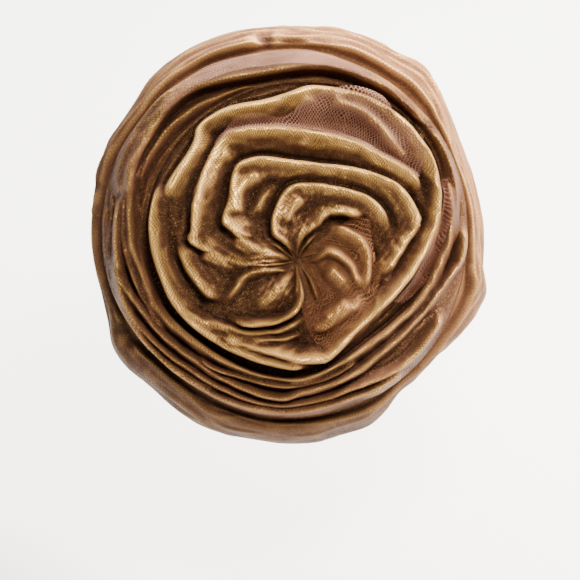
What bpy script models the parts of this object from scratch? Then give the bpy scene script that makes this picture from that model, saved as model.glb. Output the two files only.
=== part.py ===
"""Lame and tulle turban: a plain cap, a pleated outer wrap, a pleated coil, a twisted rosette and free tulle flaps.

The wearer's head is upright: +Z is up, +Y is the face side and -Y the back of the head, where the rosette sits.
The origin is the middle of the cap's opening, where the head goes in. Sizes are in millimetres, scaled by MM.

The puff is described as seen along the rosette's own axis. A place on it is an angle round the rosette's stitched
centre (0 is the right as seen from behind, 90 is up) and a distance from it, square to the axis. Every sheet is an
inner and an outer surface over one plain form, so the walls follow the folds on both sides.
"""

import math
from collections import namedtuple

import bmesh
import bpy
import numpy as np

MM = 0.001

# The head opening and the cap
HEAD_HALF_WIDTH = 79.0
HEAD_HALF_DEPTH = 99.0
HEAD_HEIGHT = 118.0
OPENING_TILT = math.radians(12.0)
CAP_WALL = 2.0
CAP_HEM_DROP = 5.0
CAP_SEGMENTS = 36
CAP_RINGS = 6

# The cloth
CLOTH_WALL = 2.2
TULLE_WALL = 1.0
SEAT_GAP = 0.35

# The puff: its middle, and the way the rosette faces
AXIS_RISE = math.radians(35.0)
PUFF_MIDDLE = np.array([0.0, -26.0, 72.0])
ROSETTE_OFFSET = (6.0, -18.0)
DOME_DEPTH = 58.0
DOME_POWER = 2.3
LEAVE_PULL = 0.6
ARRIVE_PULL = 0.45

# Cloth is raised mostly along the axis near the middle, and square to the dome from this share of the way out
LEAN_SHARE = 0.3
LEAN_START = 0.85

SEGMENTS = 60
TURN = 2.0 * math.pi
ANGLES = np.arange(SEGMENTS) * TURN / SEGMENTS

AXIS = np.array([0.0, -math.cos(AXIS_RISE), math.sin(AXIS_RISE)])
ACROSS = np.array([1.0, 0.0, 0.0])
UPWARD = np.array([0.0, math.sin(AXIS_RISE), math.cos(AXIS_RISE)])

# A line right round the rosette: its distance from the centre in eight directions, and its height over the plain form
Line = namedtuple("Line", "right upper_right top upper_left left lower_left bottom lower_right height")

OUTLINE = Line(126, 147, 161.5, 157, 138.5, 134, 126, 116.5, 2.5)
ROSETTE_EDGE = Line(91, 122, 123, 116, 102, 82, 77, 70, 0)
COIL_EDGE = Line(115, 133, 146, 146, 132, 114, 108, 107, 0)
WRAP_CREST = Line(120, 139.5, 152, 151, 134.5, 120, 114.5, 111.5, 5.0)
COIL_CRESTS = (
    Line(98, 127, 135, 137, 110, 87, 80.5, 75.5, 17.0),
    Line(105.5, 129.5, 139, 141, 119.5, 95.5, 90, 84.5, 14.0),
    Line(110.5, 131.5, 143, 144, 127, 106, 100.5, 100, 10.0),
)
COIL_FLANGE = 4.0
COIL_VALLEY = 6.0
WRAP_VALLEY = 2.0

# How far a sheet runs in under the one that covers it, and how far it stays flat past that one's edge
FLANGE_WIDTH = 9.0
SEAT_MARGIN = 1.5

# The hidden side: even pleats from the outline to the opening, wavering a little
BACK_PLEATS = 5
PLEAT_HEIGHT = 8.0
PLEAT_WIDTH = 17.0
PLEAT_WAVES = 3
PLEAT_WAVER = 0.16

# A fold of the rosette: the angles between which its crest runs, its distance from the centre at five even stations
# along it, its height, and how far its two sides reach towards the centre and away from it
Fold = namedtuple("Fold", "start end radii height inner outer")

ROSETTE_FOLDS = (
    Fold(130, 10, (24, 38, 53, 64, 68), 10, 9, 14),
    Fold(174, 152, (7, 13, 32, 43, 56), 9, 8, 10),
    Fold(150, 19, (59, 77, 68, 76, 90), 11, 12, 12),
    Fold(19, -12, (90, 78, 68, 63, 60), 10, 9, 8),
    Fold(171, 35, (75, 90, 94, 90, 101), 11, 12, 12),
    Fold(152, 5, (103, 118, 114, 120, 106), 13, 11, 8),
    Fold(286, 393, (67, 62, 66, 84, 104), 13, 8, 8),
    Fold(276, 209, (18, 42, 53, 64, 76), 10, 8, 7),
    Fold(84, 37, (13, 21, 37, 46, 56), 9, 8, 9),
    Fold(12, -23, (24, 31, 36, 40, 50), 9, 9, 9),
    Fold(336, 286, (50, 47, 47, 47, 50), 9, 14, 7),
    Fold(225, 208, (10, 14, 28, 42, 53), 9, 8, 8),
    Fold(208, 176, (56, 66, 70, 74, 80), 9, 8, 9),
    Fold(286, 152, (72, 73, 79, 92, 109), 11, 8, 6),
)
FOLD_STATIONS = 40
FOLD_FADE = 0.15
CREST_ROUND = 3.5
FOLD_SAMPLES = (-0.375, -0.125, 0.125, 0.375)
ROSETTE_RINGS = 18
ROSETTE_FLOOR = 10.0
PINCH_RADIUS = 18.0
DIMPLE_DEPTH = 11.0
DIMPLE_RADIUS = 15.0
EDGE_CURL = 0.09

# A free tulle flap: where it is sewn on, how far it reaches, both as ring numbers of the sheet below, the angles
# between which it runs, its lift at the outer edge and the number of waves along that edge
Flap = namedtuple("Flap", "name start end sewn reach lift waves")

ROSETTE_FLAPS = (
    Flap("tulle_web", 30, 108, 12, 16.5, 5.0, 4),
    Flap("tulle_fan", -84, 36, 1, 9.7, 5.0, 5),
    Flap("tulle_ruffle", -42, 24, 14, 17.0, 6.0, 5),
)
WRAP_FLAPS = (Flap("tulle_band", 66, 138, 1, 1.9, 3.0, 3),)
FLAP_ROWS = 4
FLAP_CLEAR = 2.6


def smooth(share):
    """A share from 0 to 1, eased at both ends."""
    share = np.clip(share, 0.0, 1.0)
    return share * share * (3.0 - 2.0 * share)


def cubic(before, here, after, beyond, part):
    """A smooth curve from one value to the next, at this part of the way."""
    bend = 2 * before - 5 * here + 4 * after - beyond + part * (3 * (here - after) + beyond - before)
    return here + 0.5 * part * (after - before + part * bend)


def around(line, angles=ANGLES):
    """The line's distance from the centre at each angle, on a smooth closed curve through its eight directions."""
    values = np.array(line[:8], float)
    place = np.asarray(angles) / TURN * 8.0
    whole = np.floor(place).astype(int)
    return cubic(*(values[(whole + k) % 8] for k in (-1, 0, 1, 2)), place - whole)


def along(values, share):
    """An open smooth curve through evenly spaced values, read at these shares of its length."""
    values = np.array(values, float)
    last = len(values) - 1
    padded = np.concatenate([[2 * values[0] - values[1]], values, [2 * values[-1] - values[-2]]])
    place = np.clip(share, 0.0, 1.0) * last
    whole = np.minimum(place.astype(int), last - 1)
    return cubic(*(padded[whole + k] for k in range(4)), place - whole)


def front_form(angles, distances):
    """Points on the plain dome that faces along the axis, and the way cloth is raised there, at these places."""
    edge = around(OUTLINE, angles)
    turn = (around(OUTLINE, angles + 0.01) - around(OUTLINE, angles - 0.01)) / 0.02
    share = np.clip(distances / edge, 0.0, 1.0)
    depth = (1.0 - share**DOME_POWER) ** (1.0 / DOME_POWER)
    cosine, sine = np.cos(angles), np.sin(angles)
    point = (
        PUFF_MIDDLE
        + (ROSETTE_OFFSET[0] + distances * cosine)[..., None] * ACROSS
        + (ROSETTE_OFFSET[1] + distances * sine)[..., None] * UPWARD
        + (DOME_DEPTH * depth)[..., None] * AXIS
    )
    slope = share ** (DOME_POWER - 1.0) / edge
    side = -slope * turn / edge
    square = (
        (slope * cosine - side * sine)[..., None] * ACROSS
        + (slope * sine + side * cosine)[..., None] * UPWARD
        + (depth ** (DOME_POWER - 1.0) / DOME_DEPTH)[..., None] * AXIS
    )
    square /= np.linalg.norm(square, axis=-1)[..., None]
    lean = LEAN_SHARE + (1.0 - LEAN_SHARE) * smooth((share - LEAN_START) / (1.0 - LEAN_START))
    out = AXIS + (square - AXIS) * lean[..., None]
    return point, out / np.linalg.norm(out, axis=-1)[..., None]


def back_form(share):
    """A line round the hidden side and the way out of it, at this share of the way from the outline to the opening."""
    outline, _ = front_form(ANGLES, around(OUTLINE))
    offset = outline - PUFF_MIDDLE
    turn = np.arctan2(offset @ UPWARD, offset @ ACROSS)
    cosine, sine, level = np.cos(turn), np.sin(turn), np.zeros(SEGMENTS)
    along_head = (HEAD_HALF_DEPTH + CAP_WALL + SEAT_GAP) * sine
    rim = np.stack(
        [
            (HEAD_HALF_WIDTH + CAP_WALL + SEAT_GAP) * cosine,
            along_head * math.cos(OPENING_TILT),
            along_head * math.sin(OPENING_TILT),
        ],
        axis=1,
    )
    forward = 0.5 + 0.5 * sine
    leave = np.stack([cosine, sine, level], axis=1) * (1.0 - 0.75 * forward)[:, None]
    leave[:, 2] = -0.15 + 1.15 * forward
    leave /= np.linalg.norm(leave, axis=1)[:, None]
    span = np.linalg.norm(outline - rim, axis=1)[:, None]
    first = outline - AXIS * span * LEAVE_PULL
    second = rim + leave * span * ARRIVE_PULL
    share = np.broadcast_to(share, SEGMENTS)[:, None]
    rest = 1.0 - share
    point = rest**3 * outline + 3 * rest**2 * share * first + 3 * rest * share**2 * second + share**3 * rim
    inward = rest**2 * (first - outline) + 2 * rest * share * (second - first) + share**2 * (rim - second)
    sideways = np.roll(point, -1, axis=0) - np.roll(point, 1, axis=0)
    out = np.cross(inward, sideways)
    return point, out / np.linalg.norm(out, axis=1)[:, None]


def surfaces(rings, heights, wall):
    """The inner and the outer surface of a sheet at these heights over a form, given as (points, ways out) rings."""
    points = np.stack([ring[0] for ring in rings])
    out = np.stack([ring[1] for ring in rings])
    lift = np.stack([np.broadcast_to(height, points.shape[1]) for height in heights])[:, :, None]
    return points + out * lift, points + out * (lift + wall)


def fold_heights(angles, distances):
    """The height that the rosette's folds add: the highest of them at each place, each rounded along its crest."""
    x, y = distances * np.cos(angles), distances * np.sin(angles)
    highest = np.zeros(x.shape)
    share = np.linspace(0.0, 1.0, FOLD_STATIONS)
    fade = 0.4 + 0.6 * smooth(share / FOLD_FADE) * smooth((1.0 - share) / FOLD_FADE)
    for fold in ROSETTE_FOLDS:
        turn = np.radians(fold.start + (fold.end - fold.start) * share)
        radius = along(fold.radii, share)
        apart = np.hypot(x[..., None] - radius * np.cos(turn), y[..., None] - radius * np.sin(turn))
        near = apart.argmin(axis=-1)
        reach = np.where(distances > radius[near], fold.outer, fold.inner)
        flank = np.hypot(apart.min(axis=-1), CREST_ROUND) - CREST_ROUND
        highest = np.maximum(highest, fold.height * (fade[near] - flank / reach))
    return highest


def even_heights(angles, distances):
    """The folds' heights averaged over each place's own patch, so that a coarse mesh carries them cleanly."""
    turn_step = TURN / SEGMENTS
    ring_step = np.gradient(distances, axis=0)
    total = np.zeros(distances.shape)
    for across in FOLD_SAMPLES:
        for outward in FOLD_SAMPLES:
            total += fold_heights(angles + across * turn_step, distances + outward * ring_step)
    return total / len(FOLD_SAMPLES) ** 2


def rosette_surfaces():
    """The rosette from its pinched centre to the edge that curls down onto the coil."""
    shares = (np.arange(ROSETTE_RINGS) + 1.0)[:, None] / ROSETTE_RINGS
    distances = shares * around(ROSETTE_EDGE)
    angles = np.broadcast_to(ANGLES, distances.shape)
    folds = even_heights(angles, distances) * smooth(distances / PINCH_RADIUS)
    seat = COIL_FLANGE + CLOTH_WALL + SEAT_GAP
    dimple = DIMPLE_DEPTH * np.exp(-((distances / DIMPLE_RADIUS) ** 2))
    heights = seat + smooth((1.0 - shares) / EDGE_CURL) * (ROSETTE_FLOOR - seat + folds) - dimple
    return surfaces([front_form(*place) for place in zip(angles, distances)], heights, CLOTH_WALL)


def coil_surfaces():
    """The coil: its flange under the rosette, then crests and valleys out to its edge on the outer wrap."""
    lines = [
        (around(ROSETTE_EDGE) - FLANGE_WIDTH, COIL_FLANGE),
        (around(ROSETTE_EDGE) + SEAT_MARGIN, COIL_FLANGE),
    ]
    for crest, following in zip(COIL_CRESTS, COIL_CRESTS[1:] + (COIL_EDGE,)):
        lines.append((around(crest), crest.height))
        lines.append((0.5 * (around(crest) + around(following)), COIL_VALLEY))
    lines[-1] = (around(COIL_EDGE), CLOTH_WALL + SEAT_GAP)
    rings = [front_form(ANGLES, distance) for distance, _ in lines]
    return surfaces(rings, [height for _, height in lines], CLOTH_WALL)


def wrap_surfaces():
    """The outer wrap: its flange under the coil, the pleats that show, and even pleats round to the opening."""
    edge, crest, outline = around(COIL_EDGE), around(WRAP_CREST), around(OUTLINE)
    shown = [
        (edge - FLANGE_WIDTH, 0.0),
        (edge + SEAT_MARGIN, 0.0),
        (crest, WRAP_CREST.height),
        (0.4 * crest + 0.6 * outline, WRAP_VALLEY),
        (outline, OUTLINE.height),
    ]
    rings = [front_form(ANGLES, distance) for distance, _ in shown]
    heights = [height for _, height in shown]
    steps = 2 * BACK_PLEATS
    for step in range(1, steps + 1):
        share = step / steps
        waver = PLEAT_WAVER / steps * np.sin(PLEAT_WAVES * ANGLES + step) * math.sin(math.pi * share)
        ring = back_form(share + waver)
        width = np.linalg.norm(ring[0] - rings[-1][0], axis=1)
        height = PLEAT_HEIGHT * smooth(width / PLEAT_WIDTH) * (step % 2 == 0)
        rings.append(ring)
        heights.append(height * (1.0 - share**6))
    return surfaces(rings, heights, CLOTH_WALL)


def cap_surfaces():
    """The cap: half an egg, from its crown down to a hem a little below the opening's plane."""
    turn = np.arange(CAP_SEGMENTS) * TURN / CAP_SEGMENTS
    sheets = []
    for extra in (0.0, CAP_WALL):
        rings = []
        for step in range(1, CAP_RINGS + 2):
            rise = 0.25 * TURN * (1.0 - min(step, CAP_RINGS) / CAP_RINGS)
            across = (HEAD_HALF_WIDTH + extra) * math.cos(rise) * np.cos(turn)
            lengthways = (HEAD_HALF_DEPTH + extra) * math.cos(rise) * np.sin(turn)
            height = (HEAD_HEIGHT + extra) * math.sin(rise) if step <= CAP_RINGS else -CAP_HEM_DROP
            rings.append(tilted(across, lengthways, np.full(CAP_SEGMENTS, height)))
        sheets.append(np.stack(rings))
    return sheets


def tilted(across, lengthways, height):
    """Points given over the opening's own plane, turned to its tilt."""
    cosine, sine = math.cos(OPENING_TILT), math.sin(OPENING_TILT)
    return np.stack([across, lengthways * cosine - height * sine, lengthways * sine + height * cosine], axis=-1)


def flap_surfaces(flap, below, inward):
    """A flap sewn flat to the sheet below it along one ring, then lifting free of it out to a waved edge."""
    first, last = round(flap.start / 360 * SEGMENTS), round(flap.end / 360 * SEGMENTS)
    columns = np.arange(first, last + 1)
    way = np.linspace(0.0, 1.0, len(columns))
    taper = np.sin(math.pi * (0.06 + 0.88 * way)) ** 0.7
    wave = np.sin(TURN * flap.waves * way)
    inner = []
    outer = []
    for row in range(FLAP_ROWS + 1):
        share = row / FLAP_ROWS
        place = flap.sewn + (flap.reach - flap.sewn) * share * (taper + 0.06 * wave * share)
        whole = np.minimum(place.astype(int), len(below) - 2)
        part = (place - whole)[:, None]
        column = columns % SEGMENTS
        on_sheet = below[whole, column] * (1.0 - part) + below[whole + 1, column] * part
        out = on_sheet - (inward[whole, column] * (1.0 - part) + inward[whole + 1, column] * part)
        out /= np.linalg.norm(out, axis=1)[:, None]
        lift = FLAP_CLEAR * min(1.0, 3.0 * share) + flap.lift * share**2 * taper * (0.75 + 0.25 * wave)
        inner.append(on_sheet + out * (SEAT_GAP + lift)[:, None])
        outer.append(on_sheet + out * (SEAT_GAP + lift + TULLE_WALL)[:, None])
    return np.stack(inner), np.stack(outer)


def solid(name, sheets, closed=True, poles=None):
    """A closed wall between an inner and an outer grid of points, going right round or ending at two sides."""
    shape = bmesh.new()
    inner, outer = ([[shape.verts.new(point * MM) for point in ring] for ring in sheet] for sheet in sheets)
    count = len(inner[0])
    spans = [(k, (k + 1) % count) for k in range(count if closed else count - 1)]
    for row in range(len(inner) - 1):
        for k, after in spans:
            shape.faces.new((outer[row][k], outer[row + 1][k], outer[row + 1][after], outer[row][after]))
            shape.faces.new((inner[row][k], inner[row][after], inner[row + 1][after], inner[row + 1][k]))
        if not closed:
            shape.faces.new((outer[row][0], inner[row][0], inner[row + 1][0], outer[row + 1][0]))
            shape.faces.new((outer[row][-1], outer[row + 1][-1], inner[row + 1][-1], inner[row][-1]))
    for k, after in spans:
        shape.faces.new((outer[-1][k], inner[-1][k], inner[-1][after], outer[-1][after]))
        if poles is None:
            shape.faces.new((outer[0][k], outer[0][after], inner[0][after], inner[0][k]))
    if poles is not None:
        under, over = (shape.verts.new(point * MM) for point in poles)
        for k, after in spans:
            shape.faces.new((under, inner[0][after], inner[0][k]))
            shape.faces.new((over, outer[0][k], outer[0][after]))
    bmesh.ops.recalc_face_normals(shape, faces=shape.faces[:])
    mesh = bpy.data.meshes.new(name)
    shape.to_mesh(mesh)
    shape.free()
    mesh.shade_smooth()
    obj = bpy.data.objects.new(name, mesh)
    bpy.context.collection.objects.link(obj)
    return obj


def pole_points(rings, drop):
    """The two points that close a sheet over its middle: the middle of its first rings, this far below them."""
    inner, outer = rings
    return inner[0].mean(axis=0) - drop, outer[0].mean(axis=0) - drop


def material(name, colour, roughness, metallic):
    """A Principled material."""
    made = bpy.data.materials.new(name)
    made.use_nodes = True
    shader = made.node_tree.nodes["Principled BSDF"]
    shader.inputs["Base Color"].default_value = (*colour, 1.0)
    shader.inputs["Roughness"].default_value = roughness
    shader.inputs["Metallic"].default_value = metallic
    return made


def main():
    for obj in list(bpy.data.objects):
        bpy.data.objects.remove(obj)
    lame = material("lame", (0.56, 0.36, 0.15), 0.4, 0.8)
    tulle = material("tulle", (0.24, 0.11, 0.08), 0.7, 0.0)
    jersey = material("cap_jersey", (0.20, 0.11, 0.07), 0.85, 0.0)

    crown = tilted(0.0, 0.0, HEAD_HEIGHT), tilted(0.0, 0.0, HEAD_HEIGHT + CAP_WALL)
    wrap = wrap_surfaces()
    rosette = rosette_surfaces()
    made = [
        (solid("cap", cap_surfaces(), poles=crown), jersey),
        (solid("outer_wrap", wrap), lame),
        (solid("middle_coil", coil_surfaces()), lame),
        (solid("rosette", rosette, poles=pole_points(rosette, 0.5 * AXIS)), lame),
    ]
    for flaps, (inner, outer) in ((ROSETTE_FLAPS, rosette), (WRAP_FLAPS, wrap)):
        for flap in flaps:
            made.append((solid(flap.name, flap_surfaces(flap, outer, inner), closed=False), tulle))
    for obj, finish in made:
        obj.data.materials.append(finish)


main()
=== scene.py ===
"""Dresses the gold lame and brown tulle turban: pleated wrap, coil, twisted rosette, net veils, flaps and stitches."""

import logging
import math
from dataclasses import dataclass, field
from enum import Enum

import bpy
import numpy as np
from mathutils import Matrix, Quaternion, Vector


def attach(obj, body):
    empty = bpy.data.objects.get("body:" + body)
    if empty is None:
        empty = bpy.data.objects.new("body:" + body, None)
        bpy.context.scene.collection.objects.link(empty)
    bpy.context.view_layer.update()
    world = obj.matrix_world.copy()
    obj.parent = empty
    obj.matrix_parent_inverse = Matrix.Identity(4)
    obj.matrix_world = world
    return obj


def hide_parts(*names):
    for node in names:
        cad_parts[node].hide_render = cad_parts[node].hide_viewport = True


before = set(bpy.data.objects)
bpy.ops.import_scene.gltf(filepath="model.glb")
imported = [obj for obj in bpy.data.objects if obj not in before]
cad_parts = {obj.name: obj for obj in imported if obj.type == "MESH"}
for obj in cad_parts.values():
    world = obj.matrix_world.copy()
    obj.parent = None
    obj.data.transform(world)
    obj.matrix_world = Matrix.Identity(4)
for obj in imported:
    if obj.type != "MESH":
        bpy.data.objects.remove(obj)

LOG = logging.getLogger("turban")
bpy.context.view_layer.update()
MM = 0.001
TURN = 2.0 * math.pi

Array = np.ndarray


class Hold(Enum):
    """How a sheet of cloth is held on the turban."""

    GATHERED = "gathered"
    STRETCHED = "stretched"
    DRAPED = "draped"


def smooth(share: Array | float) -> Array:
    """Eases a share from 0 to 1 at both ends."""
    share = np.clip(share, 0.0, 1.0)
    return share * share * (3.0 - 2.0 * share)


def unit(vectors: Array) -> Array:
    """Scales vectors along the last axis to length 1."""
    return vectors / np.linalg.norm(vectors, axis=-1, keepdims=True)


class LatticeNoise:
    """Smooth seeded noise from -1 to 1 on a wrapping lattice, for wavering cloth."""

    def __init__(self, seed: int, size: int = 64) -> None:
        """Fills the lattice.

        Args:
            seed: fixed seed of the lattice.
            size: number of cells after which the noise repeats.
        """
        self.size = size
        self.values = np.random.default_rng(seed).uniform(-1.0, 1.0, (size, size))

    def at(self, u: Array, v: Array) -> Array:
        """Reads the noise.

        Args:
            u: first coordinate, in cells.
            v: second coordinate, in cells.

        Returns:
            The noise at each place.
        """
        u, v = np.broadcast_arrays(u, v)
        cell_u, cell_v = np.floor(u).astype(int), np.floor(v).astype(int)
        part_u, part_v = smooth(u - cell_u), smooth(v - cell_v)
        corner = [
            self.values[(cell_u + a) % self.size, (cell_v + b) % self.size] for a in (0, 1) for b in (0, 1)
        ]
        low = corner[0] + (corner[1] - corner[0]) * part_v
        high = corner[2] + (corner[3] - corner[2]) * part_v
        return low + (high - low) * part_u


@dataclass(frozen=True)
class Loop:
    """A closed line round the rosette: distances from its centre in millimetres, at these degrees."""

    degrees: tuple[float, ...]
    distances: tuple[float, ...]

    def at(self, angles: Array) -> Array:
        """Reads the line.

        Args:
            angles: angles in radians.

        Returns:
            The distance at each angle, on a smooth curve through the line's places.
        """
        knots = np.array(self.degrees, float)
        values = np.array(self.distances, float)
        turns = np.concatenate([knots[-2:] - 360.0, knots, knots[:2] + 360.0])
        heights = np.concatenate([values[-2:], values, values[:2]])
        slopes = np.gradient(heights, turns)
        place = np.degrees(angles) % 360.0
        k = np.clip(np.searchsorted(turns, place, side="right") - 1, 0, len(turns) - 2)
        step = turns[k + 1] - turns[k]
        part = (place - turns[k]) / step
        return (
            (1 + 2 * part) * (1 - part) ** 2 * heights[k]
            + part * (1 - part) ** 2 * step * slopes[k]
            + part**2 * (3 - 2 * part) * heights[k + 1]
            + part**2 * (part - 1) * step * slopes[k + 1]
        )


def eight(*distances: float) -> Loop:
    """Makes a loop from its distances in eight even directions, starting at the right and going up."""
    return Loop(tuple(45.0 * k for k in range(8)), distances)


@dataclass(frozen=True)
class PuffForm:
    """The plain form under the cloth, in millimetres: a dome that faces back and up, and a bag from it to the opening."""

    rise: float = math.radians(35.0)
    middle: tuple[float, float, float] = (0.0, -26.0, 72.0)
    rosette_offset: tuple[float, float] = (6.0, -18.0)
    dome_depth: float = 58.0
    dome_power: float = 2.3
    lean_share: float = 0.3
    lean_start: float = 0.85
    outline: Loop = eight(126, 147, 161.5, 157, 138.5, 134, 126, 115.5)
    head_half_width: float = 79.0
    head_half_depth: float = 99.0
    head_height: float = 118.0
    cap_wall: float = 2.0
    hem_drop: float = 5.0
    tilt: float = math.radians(12.0)
    leave_pull: float = 0.6
    arrive_pull: float = 0.45

    def directions(self) -> tuple[Array, Array, Array]:
        """Gives the axes across, up the face of the rosette, and out of it."""
        cosine, sine = math.cos(self.rise), math.sin(self.rise)
        return np.array([1.0, 0, 0]), np.array([0, sine, cosine]), np.array([0, -cosine, sine])

    def front(self, angles: Array, distances: Array) -> tuple[Array, Array]:
        """Places points on the dome.

        Args:
            angles: angles round the rosette's centre.
            distances: distances from it, square to the axis.

        Returns:
            The points and the direction in which cloth is raised from them.
        """
        across, upward, axis = self.directions()
        edge = self.outline.at(angles)
        turn = (self.outline.at(angles + 0.01) - self.outline.at(angles - 0.01)) / 0.02
        share = np.clip(distances / edge, 0.0, 1.0)
        depth = (1.0 - share**self.dome_power) ** (1.0 / self.dome_power)
        cosine, sine = np.cos(angles), np.sin(angles)
        point = (
            np.array(self.middle)
            + (self.rosette_offset[0] + distances * cosine)[..., None] * across
            + (self.rosette_offset[1] + distances * sine)[..., None] * upward
            + (self.dome_depth * depth)[..., None] * axis
        )
        slope = share ** (self.dome_power - 1.0) / edge
        side = -slope * turn / edge
        square = unit(
            (slope * cosine - side * sine)[..., None] * across
            + (slope * sine + side * cosine)[..., None] * upward
            + (depth ** (self.dome_power - 1.0) / self.dome_depth)[..., None] * axis
        )
        lean = self.lean_share + (1.0 - self.lean_share) * smooth(
            (share - self.lean_start) / (1.0 - self.lean_start)
        )
        return point, unit(axis + (square - axis) * lean[..., None])

    def back(self, angles: Array, share: Array) -> tuple[Array, Array, Array]:
        """Places points on the hidden bag.

        Args:
            angles: one angle for each column.
            share: share of the way from the outline to the opening, a row of it for each ring.

        Returns:
            The points, the way out, and each column's span from outline to opening.
        """
        axis = self.directions()[2]
        outline, _ = self.front(angles, self.outline.at(angles))
        offset = outline - np.array(self.middle)
        across, upward, _ = self.directions()
        turn = np.arctan2(offset @ upward, offset @ across)
        cosine, sine = np.cos(turn), np.sin(turn)
        seat = self.cap_wall + 0.35
        lengthways = (self.head_half_depth + seat) * sine
        rim = np.stack(
            [
                (self.head_half_width + seat) * cosine,
                lengthways * math.cos(self.tilt),
                lengthways * math.sin(self.tilt),
            ],
            axis=1,
        )
        forward = 0.5 + 0.5 * sine
        leave = np.stack([cosine, sine, np.zeros(len(sine))], axis=1) * (1.0 - 0.75 * forward)[:, None]
        leave[:, 2] = -0.15 + 1.15 * forward
        span = np.linalg.norm(outline - rim, axis=1)
        first = outline - axis * (span * self.leave_pull)[:, None]
        second = rim + unit(leave) * (span * self.arrive_pull)[:, None]
        s = share[..., None]
        rest = 1.0 - s
        point = rest**3 * outline + 3 * rest**2 * s * first + 3 * rest * s**2 * second + s**3 * rim
        inward = rest**2 * (first - outline) + 2 * rest * s * (second - first) + s**2 * (rim - second)
        sideways = np.roll(point, -1, axis=-2) - np.roll(point, 1, axis=-2)
        return point, unit(np.cross(inward, sideways)), span


@dataclass(frozen=True)
class Crest:
    """The crest of one fold, read off the cloth: where it shows, how high it is and how far its sides reach.

    A positive lean tips the crest away from the rosette's centre and a negative one towards it, in millimetres.
    The trench is how deep the cloth dives beside the steeper side. The cap is how broad the crest is, each way.
    """

    name: str
    degrees: tuple[float, ...]
    distances: tuple[float, ...]
    height: float
    inner: float
    outer: float
    lean: float = 0.0
    trench: float = 0.0
    start_taper: float = 14.0
    end_taper: float = 14.0
    cap: float = 0.0

    def line(self) -> Array:
        """Gives the crest as evenly spaced points across and up, about 2 mm apart."""
        turn = np.radians(self.degrees)
        knots = np.stack([np.cos(turn), np.sin(turn)], axis=1) * np.array(self.distances)[:, None]
        lengths = np.concatenate([[0.0], np.cumsum(np.linalg.norm(np.diff(knots, axis=0), axis=1))])
        slopes = np.gradient(knots, lengths, axis=0)
        place = np.linspace(0.0, lengths[-1], max(4, int(lengths[-1] / 2.0)))
        k = np.clip(np.searchsorted(lengths, place, side="right") - 1, 0, len(lengths) - 2)
        step = (lengths[k + 1] - lengths[k])[:, None]
        part = (place - lengths[k])[:, None] / step
        return (
            (1 + 2 * part) * (1 - part) ** 2 * knots[k]
            + part * (1 - part) ** 2 * step * slopes[k]
            + part**2 * (3 - 2 * part) * knots[k + 1]
            + part**2 * (part - 1) * step * slopes[k + 1]
        )

    def outward(self, line: Array) -> Array:
        """Gives the way square to the crest at each of its points, towards its outer side."""
        along = unit(np.gradient(line, axis=0))
        turning = 1.0 if self.degrees[-1] > self.degrees[0] else -1.0
        return np.stack([along[:, 1], -along[:, 0]], axis=1) * turning

    def rooted(self, form: PuffForm, level: float) -> tuple[Array, Array]:
        """Finds where on the plain form the crest is raised from, so that it shows where it was read.

        Args:
            form: the plain form.
            level: height of the crest over the form.

        Returns:
            The points on the form and the way to the outer side at each.
        """
        across, upward, _ = form.directions()
        line = self.line()
        outward = self.outward(line)
        base = line
        for _ in range(3):
            _, out = form.front(np.arctan2(base[:, 1], base[:, 0]), np.hypot(base[:, 0], base[:, 1]))
            shift = np.stack([out @ across, out @ upward], axis=1) * level
            base = line - shift - outward * self.lean
        return base, outward


def face(name: str, across: tuple[float, ...], up: tuple[float, ...], height: float, cap: float) -> Crest:
    """Makes a broad face of cloth between two folds.

    Args:
        name: the face's name.
        across: places along its middle, in millimetres to the right of the rosette's centre.
        up: the same places above it.
        height: its height.
        cap: how broad it is, each way.

    Returns:
        The face, as a crest with a broad top.
    """
    degrees = tuple(math.degrees(math.atan2(v, u)) % 360.0 for u, v in zip(across, up))
    distances = tuple(math.hypot(u, v) for u, v in zip(across, up))
    return Crest(name, degrees, distances, height, 2.2, 2.2, start_taper=8.0, end_taper=8.0, cap=cap)


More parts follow.
